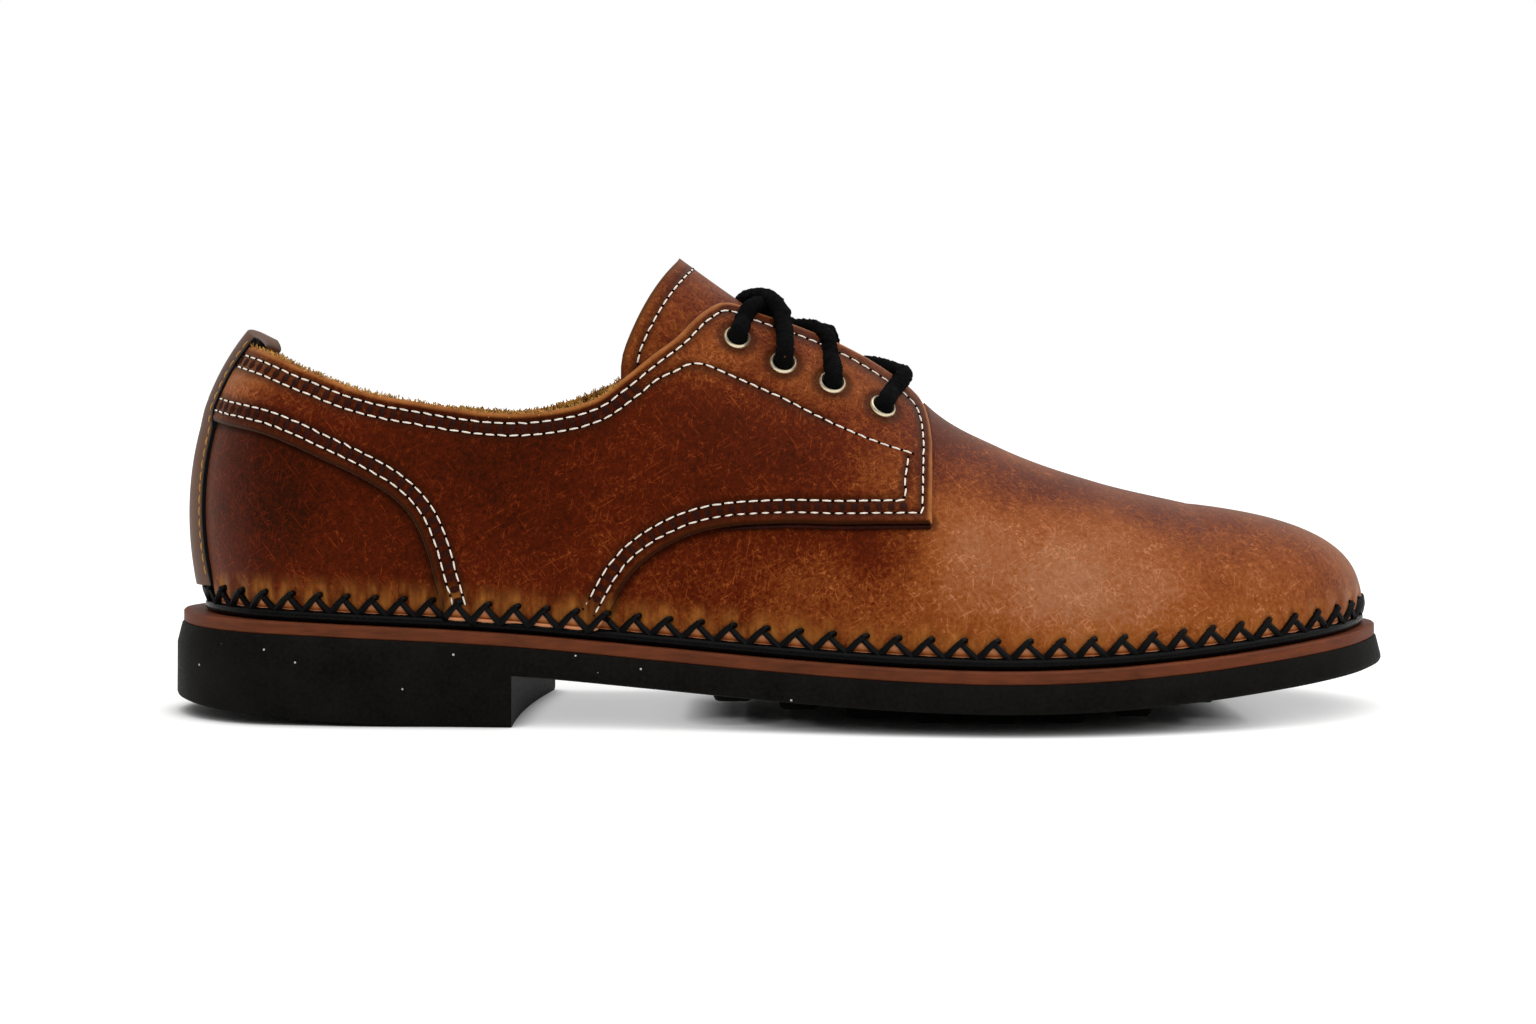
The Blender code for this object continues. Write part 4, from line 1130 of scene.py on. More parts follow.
class SHOE_OT_quarters(bpy.types.Operator):
    """Quarters: the two outer panels sewn over the vamp and counter, and the layer that shows under them"""

    bl_idname = "shoe.quarters"
    bl_label = "Quarters"

    def execute(self, context):
        laps = []
        for side, name in zip(SIDES, ("quarter_lateral", "quarter_medial")):
            self.make(context.scene.shoe_sizes, side, name)
            lower, _ = quarter_edges(side, np.linspace(0, 1, EDGE_SAMPLES))
            lower = lower[lower[:, 0] > LAP_FROM]
            lower = along_path(lower, np.linspace(0, chords(lower)[-1], LAP_STEPS))
            path, normal = on_leather(lower[:, 0], side, lower[:, 1] - LAP_DROP, LAP_LIFT)
            ends = LAP_RADIUS * np.clip([*np.linspace(0, LAP_TAPER, LAP_STEPS - 1), 0], 0, 1)
            laps.append(tube(path, ends, LAP_SIDES, normal))
        points = np.array(laps)
        faces = many_faces(len(points), LAP_STEPS, LAP_SIDES)
        add_piece("lap_edges", points, faces, ["pressed_dark_leather"], close=True)
        return {"FINISHED"}

    def make(self, sizes, side, name):
        """A sheet ruled from the lower to the upper edge, lifted one layer above the last and rounded at its
        edges."""
        near = np.array(EDGE_ROWS[:-1]) * MM
        total = chords(quarter_edges(side, np.linspace(0, 1, LENGTH_SAMPLES))[0])[-1]
        even = np.linspace(0, 1 - EDGE_ROWS[-1] * MM / total, int(total / QUARTER_STEP))
        lower, upper = quarter_edges(side, np.concatenate([even, 1 - near[::-1] / total]))
        span = np.linalg.norm(upper - lower, axis=1)
        first = EDGE_ROWS[-1] * MM / span
        middle = first + (1 - 2 * first) * np.linspace(0, 1, QUARTER_ROWS)[:, None]
        share = np.concatenate([near[:, None] / span, middle, 1 - near[::-1, None] / span])
        flat = lower + (upper - lower) * share[..., None]
        on = np.full(share.shape, side)
        lift = sizes.leather + LAYER_GAP
        station, t = settle(flat[..., 0], on, flat[..., 1], lift)
        base, normal = last_point(station, on, t), last_normal(station, on, t)
        high = distance_to(base, np.vstack([base[-1], base[::-1, -1]]))
        low = distance_to(base, base[0])
        edge = np.minimum(high, low)
        rows = np.min([distance_to(flat, row[::3]) for row in stitch_rows(side, sizes)], axis=0)
        fall = EDGE_FALL * np.clip(1 - edge / EDGE_ROUND, 0, 1) ** 2
        gap = LOW_EDGE_GAP * np.clip(1 - low / LOW_EDGE_REACH, 0, 1) * ease(*LOW_EDGE_RISE, flat[..., 0])
        sheet = base + normal * (lift - fall + gap)[..., None]
        values = seam_values(station, on, sheet, sizes.cord_stitches)
        sheet = sheet + normal * pucker(values)[..., None]
        centres = [place for (where, _), (place, _) in eyelet_places().items() if where == side]
        hole = np.min([np.linalg.norm(sheet - centre, axis=-1) for centre in centres], axis=0)
        values["tone"] = upper_tones_and_painted_light(sheet, QUARTER_TONE_AND_LIGHT_SPOTS, QUARTER_GROUND)
        # The row attribute also carries a painted shade ring in the dimple round each eyelet
        values["row"] = np.minimum(rows / MM, np.maximum(hole / MM - EYELET_SHADE_RING, 0))
        values["edge"] = edge / MM
        # Upper cut edges are worn pale; the lower ones stay dark with a painted shade, as they face down
        values["edge_paleness"] = np.where(high < low, 1.0, LOW_EDGE_PALENESS_IN_SHADE)
        faces = grid_faces(*share.shape)
        faces = faces[hole.ravel()[faces].mean(axis=1) > EYELET_HOLE]
        if side == MEDIAL:
            faces = faces[:, ::-1]
        piece = add_piece(name, sheet, faces, UPPER_FINISHES, (), values)
        give_thickness(piece, sizes.leather)


NAP_SEED = 5
NAP_PITCH = 0.12 * MM
NAP_RANGE = (-139 * MM, -40 * MM)
NAP_FIBRE = (2.2 * MM, 0.32 * MM)
NAP_DEPTH = 2.6 * MM
# Spread of the fibres' lean along the edge and across it, and their least and further drop below it
NAP_LEAN = (0.7, 0.5)
NAP_DROP = (0.2, 0.35)


class SHOE_OT_collar_nap(bpy.types.Operator):
    """Loose fibres along the collar's cut top edge, longest towards the back"""

    bl_idname = "shoe.collar_nap"
    bl_label = "Collar nap"

    def execute(self, context):
        random = np.random.default_rng(NAP_SEED)
        lift = context.scene.shoe_sizes.leather
        tufts = []
        for side in SIDES:
            _, upper = quarter_edges(side, np.linspace(0, 1, EDGE_SAMPLES))
            upper = upper[(upper[:, 0] > NAP_RANGE[0]) & (upper[:, 0] < NAP_RANGE[1])]
            centre, along, normal = spaced(*on_leather(upper[:, 0], side, upper[:, 1], lift), NAP_PITCH)
            up = unit(np.array([0, 0, 1.0]) - along[:, 2:] * along)
            count = (len(centre), 1)
            ahead, out = (random.normal(0, spread, count) for spread in NAP_LEAN)
            lean = unit(up + ahead * along + out * normal)
            fibre = np.cross(lean, along)
            inward = NAP_DEPTH * random.random(count)
            fade = ease(NAP_RANGE[1], NAP_RANGE[0], centre[:, :1])
            drop = NAP_FIBRE[0] * (NAP_DROP[0] + NAP_DROP[1] * (1 - fade)) * random.random(count)
            tufts.append(capsules(centre - inward * normal - drop * up, lean, unit(fibre), NAP_FIBRE))
        beads = np.concatenate(tufts)
        faces = many_faces(len(beads), len(STITCH_RINGS), STITCH_SIDES)
        add_piece("collar_nap", beads, faces, ["golden_leather_fibre"], close=True)
        return {"FINISHED"}


# Back strip, tongue


STRIP_HALF_WIDTH = 15.4 * MM
STRIP_HALF_TOP = 11.0 * MM
STRIP_ARCH = 1.7 * MM
STRIP_FOLD = 0.36
STRIP_END_SHARE = 0.84
STRIP_LEATHER = 1.2 * MM
STRIP_LEATHER_LOW = 2.7 * MM
STRIP_LIFT = 3.1 * MM
STRIP_LIFT_LOW = 2.8 * MM
# Fall of the strip's face from its middle to its edges, over the counter and over the quarters
STRIP_SHED_LOW = 1.9 * MM
STRIP_SHED = 0.8 * MM
STRIP_SHED_POWER = 2.4
STRIP_STEP = (69 * MM, 75 * MM)
STRIP_FOOT = 6.6 * MM
STRIP_TURN_IN = 4 * MM
STRIP_TRIES = 8
# First guess of the heel's radius, and the strip's mean half width in millimetres
HEEL_RADIUS = 30 * MM
STRIP_HALF_MEAN = 14.5
# Points across the strip's face between its edges, and rows up its face, over its fold and down inside
STRIP_EDGE_POINTS = 5
STRIP_FACE_SHARE = 0.8
STRIP_FACE_POINTS = 25
STRIP_ROWS = (60, 12, 8)


def behind_heel(y, z):
    """Station, side and turn on the heel's back at a distance across and a height."""
    side = np.where(y <= 0, LATERAL, MEDIAL)
    angle = np.abs(y) / HEEL_RADIUS
    for _ in range(STRIP_TRIES):
        station = HEEL_END + angle / (math.pi / 2) * HEEL_FAN
        t = turn_at_height(station, side, z)
        reach = bezier(last_frame(station, side)[2], t)
        angle = np.arcsin(np.clip(np.abs(y) / reach, 0, 1))
    return station, side, t


def strip_ends(foot=STRIP_FOOT):
    """Heights of the back strip's foot, a distance above the midsole, and of the collar at its top."""
    return welt_height(HEEL_TIP[0] * MM) + foot, COLLAR[0][1] * MM


def strip_half(height):
    """Half width of the back strip: it narrows evenly from its foot to the collar."""
    return np.interp(height, strip_ends(), [STRIP_HALF_WIDTH, STRIP_HALF_TOP])


def strip_lift(height, across):
    """Height of the strip's face above the last: over the counter alone, then over the quarters too, and
    lower by a power of the share across towards its edges."""
    high = ease(*STRIP_STEP, height)
    shed = STRIP_SHED_LOW + (STRIP_SHED - STRIP_SHED_LOW) * high
    return STRIP_LIFT_LOW + (STRIP_LIFT - STRIP_LIFT_LOW) * high - shed * np.abs(across) ** STRIP_SHED_POWER


class SHOE_OT_back_strip(bpy.types.Operator):
    """Back strip: a leather strip up the back of the heel, folded over the collar"""

    bl_idname = "shoe.back_strip"
    bl_label = "Back strip"

    def execute(self, context):
        sizes = context.scene.shoe_sizes
        near = np.array(EDGE_ROWS[:STRIP_EDGE_POINTS]) / STRIP_HALF_MEAN
        face = np.linspace(-STRIP_FACE_SHARE, STRIP_FACE_SHARE, STRIP_FACE_POINTS)
        across = np.concatenate([-1 + near, face, 1 - near[::-1]])
        foot, top = strip_ends()
        collar = top - STRIP_ARCH * across**2
        outside = np.linspace(0, 1, STRIP_ROWS[0])[:, None]
        fold = np.linspace(0, math.pi, STRIP_ROWS[1])[1:]
        inside = np.linspace(0, STRIP_TURN_IN, STRIP_ROWS[2])[1:, None]
        z = np.vstack([foot + (collar - foot) * outside, np.tile(collar, (len(fold), 1)), collar - inside])
        narrow, ended = np.linspace(1, STRIP_END_SHARE, len(fold)), np.full(len(inside), STRIP_END_SHARE)
        half = np.concatenate([np.ones(len(outside)), narrow, ended])[:, None] * strip_half(z)
        station, side, t = behind_heel(across * half, z)
        point, normal = last_point(station, side, t), last_normal(station, side, t)
        inner = -(sizes.leather + STRIP_LEATHER + LAYER_GAP)
        turn = np.concatenate([np.zeros(len(outside)), fold, np.full(len(inside), math.pi)])[:, None]
        lift = strip_lift(z, across)
        middle, radius = (lift + inner) / 2, (lift - inner) / 2
        upward = unit(np.cross(np.cross(normal, (0, 0, 1.0)), normal))
        sheet = point + normal * (middle + radius * np.cos(turn))[..., None]
        sheet = sheet + upward * (STRIP_FOLD * radius * np.sin(turn))[..., None]
        outward = unit(normal * np.cos(turn)[..., None] + upward * np.sin(turn)[..., None])
        low = (1 - ease(*STRIP_STEP, z)) * (turn == 0) * (1 - np.abs(across) ** STRIP_SHED_POWER)
        under = sheet - outward * (STRIP_LEATHER + (STRIP_LEATHER_LOW - STRIP_LEATHER) * low)[..., None]
        body = np.concatenate([sheet, under[:, ::-1]], 1)
        ends = (body + body[:, ::-1]) / 2
        body = np.concatenate([ends[:1], body, ends[-1:]])
        edge = half * (1 - np.abs(across))
        edge = np.concatenate([edge, edge], 1)[[0, *range(len(edge)), -1]]
        faces = grid_faces(*body.shape[:2], closed=True)[:, ::-1]
        row, place = np.divmod(np.arange(len(faces)), body.shape[1])
        picks = np.where(place < len(across) - 1, 0, 1)
        picks[(place == len(across) - 1) | (place == body.shape[1] - 1) | (row == 0) | (row == row.max())] = 2
        finishes = ("burnished_strip_leather", "tan_suede_lining", "black_burnished_edge")
        add_piece(
            "back_strip_leather", body, faces, finishes, ["back_strip"],
            {"edge": edge / MM}, close=True, picks=picks,
        )
        return {"FINISHED"}


TONGUE_FRONT = 46 * MM
TONGUE_TOP = -25.0 * MM
TONGUE_EAR = 17.8 * MM
TONGUE_EAR_POWER = 1.77
TONGUE_CORNER = 5.0 * MM
TONGUE_CORNER_FROM = 0.84
TONGUE_ROW = 3.6 * MM
TONGUE_HALF_FRONT = 19 * MM
TONGUE_HALF_TOP = 29.5 * MM
TONGUE_LEATHER = 1.6 * MM
TONGUE_SINK = 8 * MM
# Distance from the middle line within which the tongue's normal turns upright
TONGUE_LEVEL = 3 * MM
TONGUE_ACROSS = 61
# Rows up the tongue to a share of its length, closer rows from another, and where its stitching begins
TONGUE_ROWS = ((0, 0.98, 70), (0.985, 1, 4))
TONGUE_ROW_FROM = 0.5
TONGUE_TONE = 0.4
TONGUE_BARE = 0.35
# Depth of the tongue under the last at the middle line and beside it
TONGUE_DEPTH_COLUMNS = ("station", "middle", "side")
TONGUE_DEPTH = [
    (-40, 2.2, 2.0),
    (-26, 1.8, 1.6),
    (-10, 2.6, 0.9),
    (4, 6.6, 0.7),
    (17, 4.4, 0.9),
    (30, 2.8, 1.6),
    (46, 2.4, 2.4),
]


def tongue_point(across, share, lift=0.0):
    """Point of the tongue: across runs from -1 to 1, share from the front to the top edge."""
    side = np.where(across <= 0, LATERAL, MEDIAL)
    corner = np.clip((np.abs(across) - TONGUE_CORNER_FROM) / (1 - TONGUE_CORNER_FROM), 0, 1)
    top = TONGUE_TOP - TONGUE_EAR * np.abs(across) ** TONGUE_EAR_POWER + TONGUE_CORNER * corner**2
    station = TONGUE_FRONT + share * (top - TONGUE_FRONT)
    half = TONGUE_HALF_FRONT + share * (TONGUE_HALF_TOP - TONGUE_HALF_FRONT)
    r = np.abs(across) * half
    t = turn_at_distance(station, side, r)
    middle, beyond = (read_table(TONGUE_DEPTH, TONGUE_DEPTH_COLUMNS, n, station) for n in ("middle", "side"))
    depth = beyond + (middle - beyond) * np.exp(-((r / TONGUE_SINK) ** 2))
    normal = last_normal(station, side, t)
    level = unit(normal * (1, 0, 1))
    normal = unit(level + (normal - level) * np.clip(r / TONGUE_LEVEL, 0, 1)[..., None])
    return last_point(station, side, t) + normal * (lift - depth)[..., None], normal


class SHOE_OT_tongue(bpy.types.Operator):
    """Tongue: a leather sheet under the facings that stands out above them"""

    bl_idname = "shoe.tongue"
    bl_label = "Tongue"

    def execute(self, context):
        share = np.concatenate([np.linspace(*run) for run in TONGUE_ROWS])
        across, share = np.broadcast_arrays(np.linspace(-1, 1, TONGUE_ACROSS), share[:, None])
        sheet, _ = tongue_point(across, share)
        edge = distance_to(sheet, np.vstack([sheet[:, 0], sheet[-1], sheet[::-1, -1]]))
        row = np.abs(edge - TONGUE_ROW) / MM
        row = np.where(share > TONGUE_ROW_FROM, row, FAR_FROM_EDGE)
        far = np.full(share.shape, FAR_FROM_SEAM)
        values = {"edge": edge / MM, "row": row, "rise": far, "stitch": far}
        values["tone"], values["edge_paleness"] = np.full(share.shape, TONGUE_TONE), np.full(share.shape, TONGUE_BARE)
        piece = add_piece(
            "tongue_leather", sheet, grid_faces(*share.shape), UPPER_FINISHES,
            ["tongue"], values,
        )
        give_thickness(piece, TONGUE_LEATHER, even=False)
        return {"FINISHED"}


# Stitching


STITCH_SEED = 7
STITCH_SIDES = 6
STITCH_RINGS = (-1, -0.82, 0, 0.82, 1)
STITCH_ROUND = (0, 0.75, 1, 0.75, 0)
# A needle hole: length and width of its dark bead of painted shade
NEEDLE_HOLE = (0.85 * MM, 0.75 * MM)
# A ladder rung: pressed leather with painted shade in its crease, its length and width
LADDER_RUNG = (2.3 * MM, 1.9 * MM)
TONGUE_LENGTH = 74 * MM
STRIP_ROW = 1.1 * MM
STRIP_THREAD = (2.3 * MM, 0.5 * MM)
STRIP_THREAD_FOOT = 9 * MM
STRIP_CLEAR = 0.8 * MM
# Height of a bead as a share of its width, for thread and holes and for pressed leather
STITCH_TALL = 0.8
LADDER_TALL = 0.16
STITCH_LIFT = 0.1 * MM
STITCH_TWIST = 0.06
# Share of the pitch on each side of a stitch that gives its direction
STITCH_REACH = 0.4
ROW_SAMPLES = 900
TONGUE_ROW_SHARE = 0.9
TONGUE_ROW_SAMPLES = 300
STRIP_ROW_SAMPLES = 200


def capsules(centre, along, normal, size, tall=STITCH_TALL):
    """Closed beads along rows: each ring's radius follows the bead's round profile, and the ends dip into the
    leather."""
    across = np.cross(normal, along)
    angle = np.linspace(0, 2 * math.pi, STITCH_SIDES, endpoint=False)
    run, thick = np.array(STITCH_RINGS)[:, None], np.array(STITCH_ROUND)[:, None]
    parts = (
        (along, run * np.ones(STITCH_SIDES) * size[0] / 2),
        (across, thick * np.sin(angle) * size[1] / 2),
        (normal, (thick * np.cos(angle) - run**2) * tall * size[1] / 2),
    )
    return centre[:, None, None] + sum(v[:, None, None] * w[None, ..., None] for v, w in parts)


def spaced(points, normals, pitch, start=0.5):
    """Places at even steps along a path on the leather: centre, direction and normal of each."""
    lengths = chords(points)
    at = np.arange(start * pitch, lengths[-1], pitch)

    def read(values, move=0.0):
        return np.stack([np.interp(at + move, lengths, values[:, k]) for k in range(3)], -1)

    normal = unit(read(normals))
    along = unit(read(points, STITCH_REACH * pitch) - read(points, -STITCH_REACH * pitch))
    return read(points), unit(along - (along * normal).sum(-1, keepdims=True) * normal), normal


class SHOE_OT_stitching(bpy.types.Operator):
    """Thread stitches along the quarters, tongue and back strip, with dark beads of painted shade for needle
    holes, and pressed leather with painted shade in its creases
    """

    bl_idname = "shoe.stitching"
    bl_label = "Stitching"

    def execute(self, context):
        sizes = context.scene.shoe_sizes
        pitch, outer = sizes.thread_pitch, sizes.leather + LAYER_GAP
        rows = []
        for side in SIDES:
            for path in stitch_rows(side, sizes):
                dense = along_path(path, np.linspace(0, chords(path)[-1], ROW_SAMPLES))
                rows.append(on_leather(dense[:, 0], side, dense[:, 1], outer))
        around = np.linspace(-TONGUE_ROW_SHARE, TONGUE_ROW_SHARE, TONGUE_ROW_SAMPLES)
        rows.append(tongue_point(around, np.full(TONGUE_ROW_SAMPLES, 1 - TONGUE_ROW / TONGUE_LENGTH)))
        foot, top = strip_ends(STRIP_THREAD_FOOT)
        height = np.linspace(foot, top - STRIP_ARCH, STRIP_ROW_SAMPLES)
        for side in SIDES:
            half = strip_half(height)
            station, on, t = behind_heel(side * (half - STRIP_ROW), height)
            normal = last_normal(station, on, t)
            lift = strip_lift(height, 1 - STRIP_ROW / half)
            rows.append((last_point(station, on, t) + normal * lift[:, None], normal))
        ladders = []
        for side in SIDES:
            for path in ladder_rows(side, sizes):
                leather = on_leather(path[:, 0], side, path[:, 1], outer)
                centre, along, normal = spaced(*leather, pitch, 0.0)
                ladders.append((centre, np.cross(normal, along), normal))
        parts = [spaced(points, normals, pitch) for points, normals in rows]
        holes = [spaced(points, normals, pitch, 0.0) for points, normals in rows]
        random = np.random.default_rng(STITCH_SEED)
        thread = (sizes.thread_length, sizes.thread_width)
        for name, places, size, tall, material, slot in (
            ("seam_thread", parts[:-2], thread, STITCH_TALL, "cream_waxed_thread", "tan_lining_leather"),
            ("strip_thread", parts[-2:], STRIP_THREAD, STITCH_TALL, "tan_waxed_thread", "tan_lining_leather"),
            ("needle_holes_painted_shade", holes, NEEDLE_HOLE, STITCH_TALL, "needle_hole_painted_shade", "black_waxed_cotton"),
            (
                "pressed_ladders_crease_shade", ladders, LADDER_RUNG, LADDER_TALL,
                "pressed_dark_leather", "brown_pull_up_leather",
            ),
        ):
            centre, along, normal = (np.concatenate(each) for each in zip(*places))
            on_strip = np.abs(centre[:, 1]) < strip_half(centre[:, 2]) + STRIP_CLEAR
            on_strip &= centre[:, 0] < HEEL_CENTRE[0]
            clear = ~on_strip | (name == "strip_thread")
            centre, along, normal = centre[clear], along[clear], normal[clear]
            twist = random.normal(0, STITCH_TWIST, (len(along), 1))
            along = unit(along + twist * np.cross(normal, along))
            beads = capsules(centre + normal * STITCH_LIFT, along, normal, size, tall)
            faces = many_faces(len(beads), len(STITCH_RINGS), STITCH_SIDES)
            add_piece(name, beads, faces, [material], close=True)
        return {"FINISHED"}


# Cord round the sole's seam


CORD_SIDES = 6
BAND_SIDES = 10
BAND_STEPS = 900
# The welt cord is made as tall as the shaded gap between upper and midsole, and stands for that shade too
BAND_HEIGHT = 3.0 * MM
BAND_LIFT = 0.2 * MM
# One stitch of cord: share of the pitch, share of the rise and lift as a share of the cord's radius
CORD_LEFT = [
    (-0.1, -0.1, -0.3), (0.02, 0.12, 0.4), (0.24, 0.57, 0.7), (0.44, 0.97, 1.0),
    (0.53, 1.1, 0.9), (0.6, 1.14, 0.2), (0.65, 1.08, -1.2),
]
CORD_RIGHT = [
    (0.4, 1.04, -0.9), (0.48, 0.94, 0.1), (0.6, 0.74, 0.6),
    (0.8, 0.38, 0.6), (0.98, 0.06, 0.4), (1.1, -0.1, -0.3),
]
# Thickness of a leg of cord from its foot to its top, as a share of the cord's
CORD_SWELL = (0, 1.3, 1.25, 1.12, 1.0, 0.97, 0.95, 0.85, 0)


class SHOE_OT_seam_cord(bpy.types.Operator):
    """Black waxed cord whipped round the sole's seam, and the black welt cord under it, which also stands for
    the shade in the gap above the midsole
    """

    bl_idname = "shoe.seam_cord"
    bl_label = "Seam cord"

    def execute(self, context):
        sizes = context.scene.shoe_sizes
        radius = sizes.cord / 2
        tubes = []
        for legs in (CORD_LEFT, CORD_RIGHT):
            table = np.array(legs, float)
            steps = along_path(table, np.linspace(0, chords(table)[-1], len(CORD_SWELL)))
            count = np.arange(sizes.cord_stitches)[:, None] + steps[:, 0]
            low = sizes.cut_height
            rise = low + steps[:, 1] * (sizes.cord_rise - low)
            path, normal = self.place(sizes, count, rise, steps[:, 2] * radius)
            swell = radius * np.array(CORD_SWELL if legs is CORD_LEFT else CORD_SWELL[::-1])
            tubes.append(tube(path, swell, CORD_SIDES, normal))
        points = np.concatenate(tubes)
        faces = many_faces(len(points), points.shape[1], CORD_SIDES)
        add_piece("seam_cord", points, faces, ["black_waxed_cord"], close=True)
        count = np.linspace(0, sizes.cord_stitches, BAND_STEPS, endpoint=False)
        half = BAND_HEIGHT / 2
        path, normal = self.place(sizes, count, np.full(BAND_STEPS, half), np.full(BAND_STEPS, BAND_LIFT))
        ahead = np.vstack([path, path[:2]])
        rings = tube(ahead, half, BAND_SIDES, np.vstack([normal, normal[:2]]))[1:-1]
        rings = np.concatenate([rings, rings[:1]])
        faces = grid_faces(BAND_STEPS + 1, BAND_SIDES, closed=True)
        add_piece("welt_cord_and_gap_shade", rings, faces, ["black_waxed_cord"], close=True)
        return {"FINISHED"}

    def place(self, sizes, count, rise, lift):
        """Points at a stitch count round the seam and a height above the midsole, lifted off the outer
        leather."""
        station, side = seam_place(count, sizes.cord_stitches)
        height = last_frame(station, side)[3][..., 0] + rise
        t = turn_at_height(station, side, height)
        normal = last_normal(station, side, t)
        point = last_point(station, side, t)
        cover = cover_lift(station, height, sizes.leather)
        return point + normal * (lift + cover)[..., None], normal


# Eyelets and lace


EYELETS = 4
EYELET_AROUND = 24
# Ring of an eyelet in section: distance from its axis and height above the leather
EYELET_RING = [
    (2.5, -1.6), (2.45, 0.1), (2.58, 0.5), (2.86, 0.7), (3.14, 0.5),
    (3.36, 0.15), (3.38, -0.05), (2.95, -0.1), (2.75, -1.6),
]
# Move of each eyelet from its place in the frame to where the facing's leather carries it
EYELET_MOVE = [(-0.2, 0.4), (-0.8, -1.4), (-0.8, -1.6), (-0.5, -1.0)]


def eyelet_places():
    """Centre and normal of each eyelet on the quarter's outer face, by side and number from the top."""
    lift = bpy.context.scene.shoe_sizes.leather + LAYER_GAP
    places = {}
    for side, name in zip(SIDES, SIDE_NAMES):
        for k in range(EYELETS):
            low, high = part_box(f"eyelet_{name}_{k + 1}")
            middle = (np.array(low) + np.array(high)) / 2
            ahead, up = MM * np.array(EYELET_MOVE[k])
            point, normal = on_leather(middle[:1] + ahead, side, middle[2:] + up, lift)
            places[side, k] = point[0], normal[0]
    return places


class SHOE_OT_eyelets(bpy.types.Operator):
    """Brass eyelets along both facings"""

    bl_idname = "shoe.eyelets"
    bl_label = "Eyelets"

    def execute(self, context):
        ring = MM * np.array(EYELET_RING)
        angle = np.linspace(0, 2 * math.pi, EYELET_AROUND, endpoint=False)
        points = []
        for centre, normal in eyelet_places().values():
            across = unit(np.cross(normal, (1.0, 0, 0)))
            up = np.cross(normal, across)
            spread = np.cos(angle)[:, None] * across + np.sin(angle)[:, None] * up
            points.append(centre + ring[:, 0, None, None] * spread + ring[:, 1, None, None] * normal)
        points = np.array([np.concatenate([each, each[:1]]) for each in points])
        faces = many_faces(len(points), points.shape[1], EYELET_AROUND)
        nodes = [f"eyelet_{name}_{k + 1}" for name in SIDE_NAMES for k in range(EYELETS)]
        add_piece("eyelet_rings", points, faces, ["antique_brass"], nodes, close=True)
        return {"FINISHED"}


LACE_SIDES = 18
LACE_STEPS = 150
LACE_FUZZ = 0.06
LACE_SEED = 11
# Strands of lace: eyelet each starts from and ends in (side and number, or none for an end that goes
# under a facing), and the points between
LACE_STRANDS = [
    ((LATERAL, 0), (MEDIAL, 1), [
        (-9.6, -13.4, 97.2), (-8.2, -11.2, 99.8), (-6.0, -8.2, 101.0), (-3.6, -4.0, 99.6),
        (-1.6, 0, 99.4), (0.0, 6, 99.4), (-0.2, 10.6, 99.6), (0.4, 14, 96.5),
    ]),
    ((LATERAL, 1), (MEDIAL, 0), [
        (0.2, -14.0, 96.2), (-0.8, -10.8, 99.9), (-2.4, -8.4, 102.0), (-4.6, -4.6, 103.2),
        (-7.4, 0, 103.4), (-9.6, 6, 102.8), (-10.6, 10.8, 101.6), (-10.8, 14, 98.0),
    ]),
    ((LATERAL, 2), None, [
        (11.6, -14.2, 88.8), (10.8, -10.8, 92.8), (8.6, -7.6, 94.8), (5.4, -3.0, 95.6),
        (3.0, 1.0, 95.6), (-0.4, 6.5, 97.4), (-2.0, 10.0, 97.1), (-2.6, 11.8, 96.0),
    ]),
    ((MEDIAL, 2), None, [
        (12.6, 14.2, 90.2), (12.0, 10.8, 94.2), (9.6, 7.6, 95.0), (5.4, 3.0, 93.7),
        (2.6, -1.0, 94.5), (-0.2, -5.0, 96.4), (-1.2, -8.2, 96.0),
    ]),
    ((LATERAL, 3), (MEDIAL, 3), [
        (27.0, -15.4, 79.6), (29.2, -12.2, 82.2), (30.2, -9.2, 83.6), (28.8, -5.0, 84.4),
        (25.6, 1.0, 85.6), (22.4, 6.6, 86.4), (21.4, 10.2, 86.4), (22.8, 14.6, 83.0),
    ]),
]
# How far a strand starts under an eyelet's face, and how far above it stands clear
LACE_UNDER = 3.0 * MM
LACE_CLEAR = 1.3 * MM
# An end that goes under a facing is pressed thinner over the last share of its length
LACE_TUCK = 0.6
LACE_TUCK_FROM = 0.82


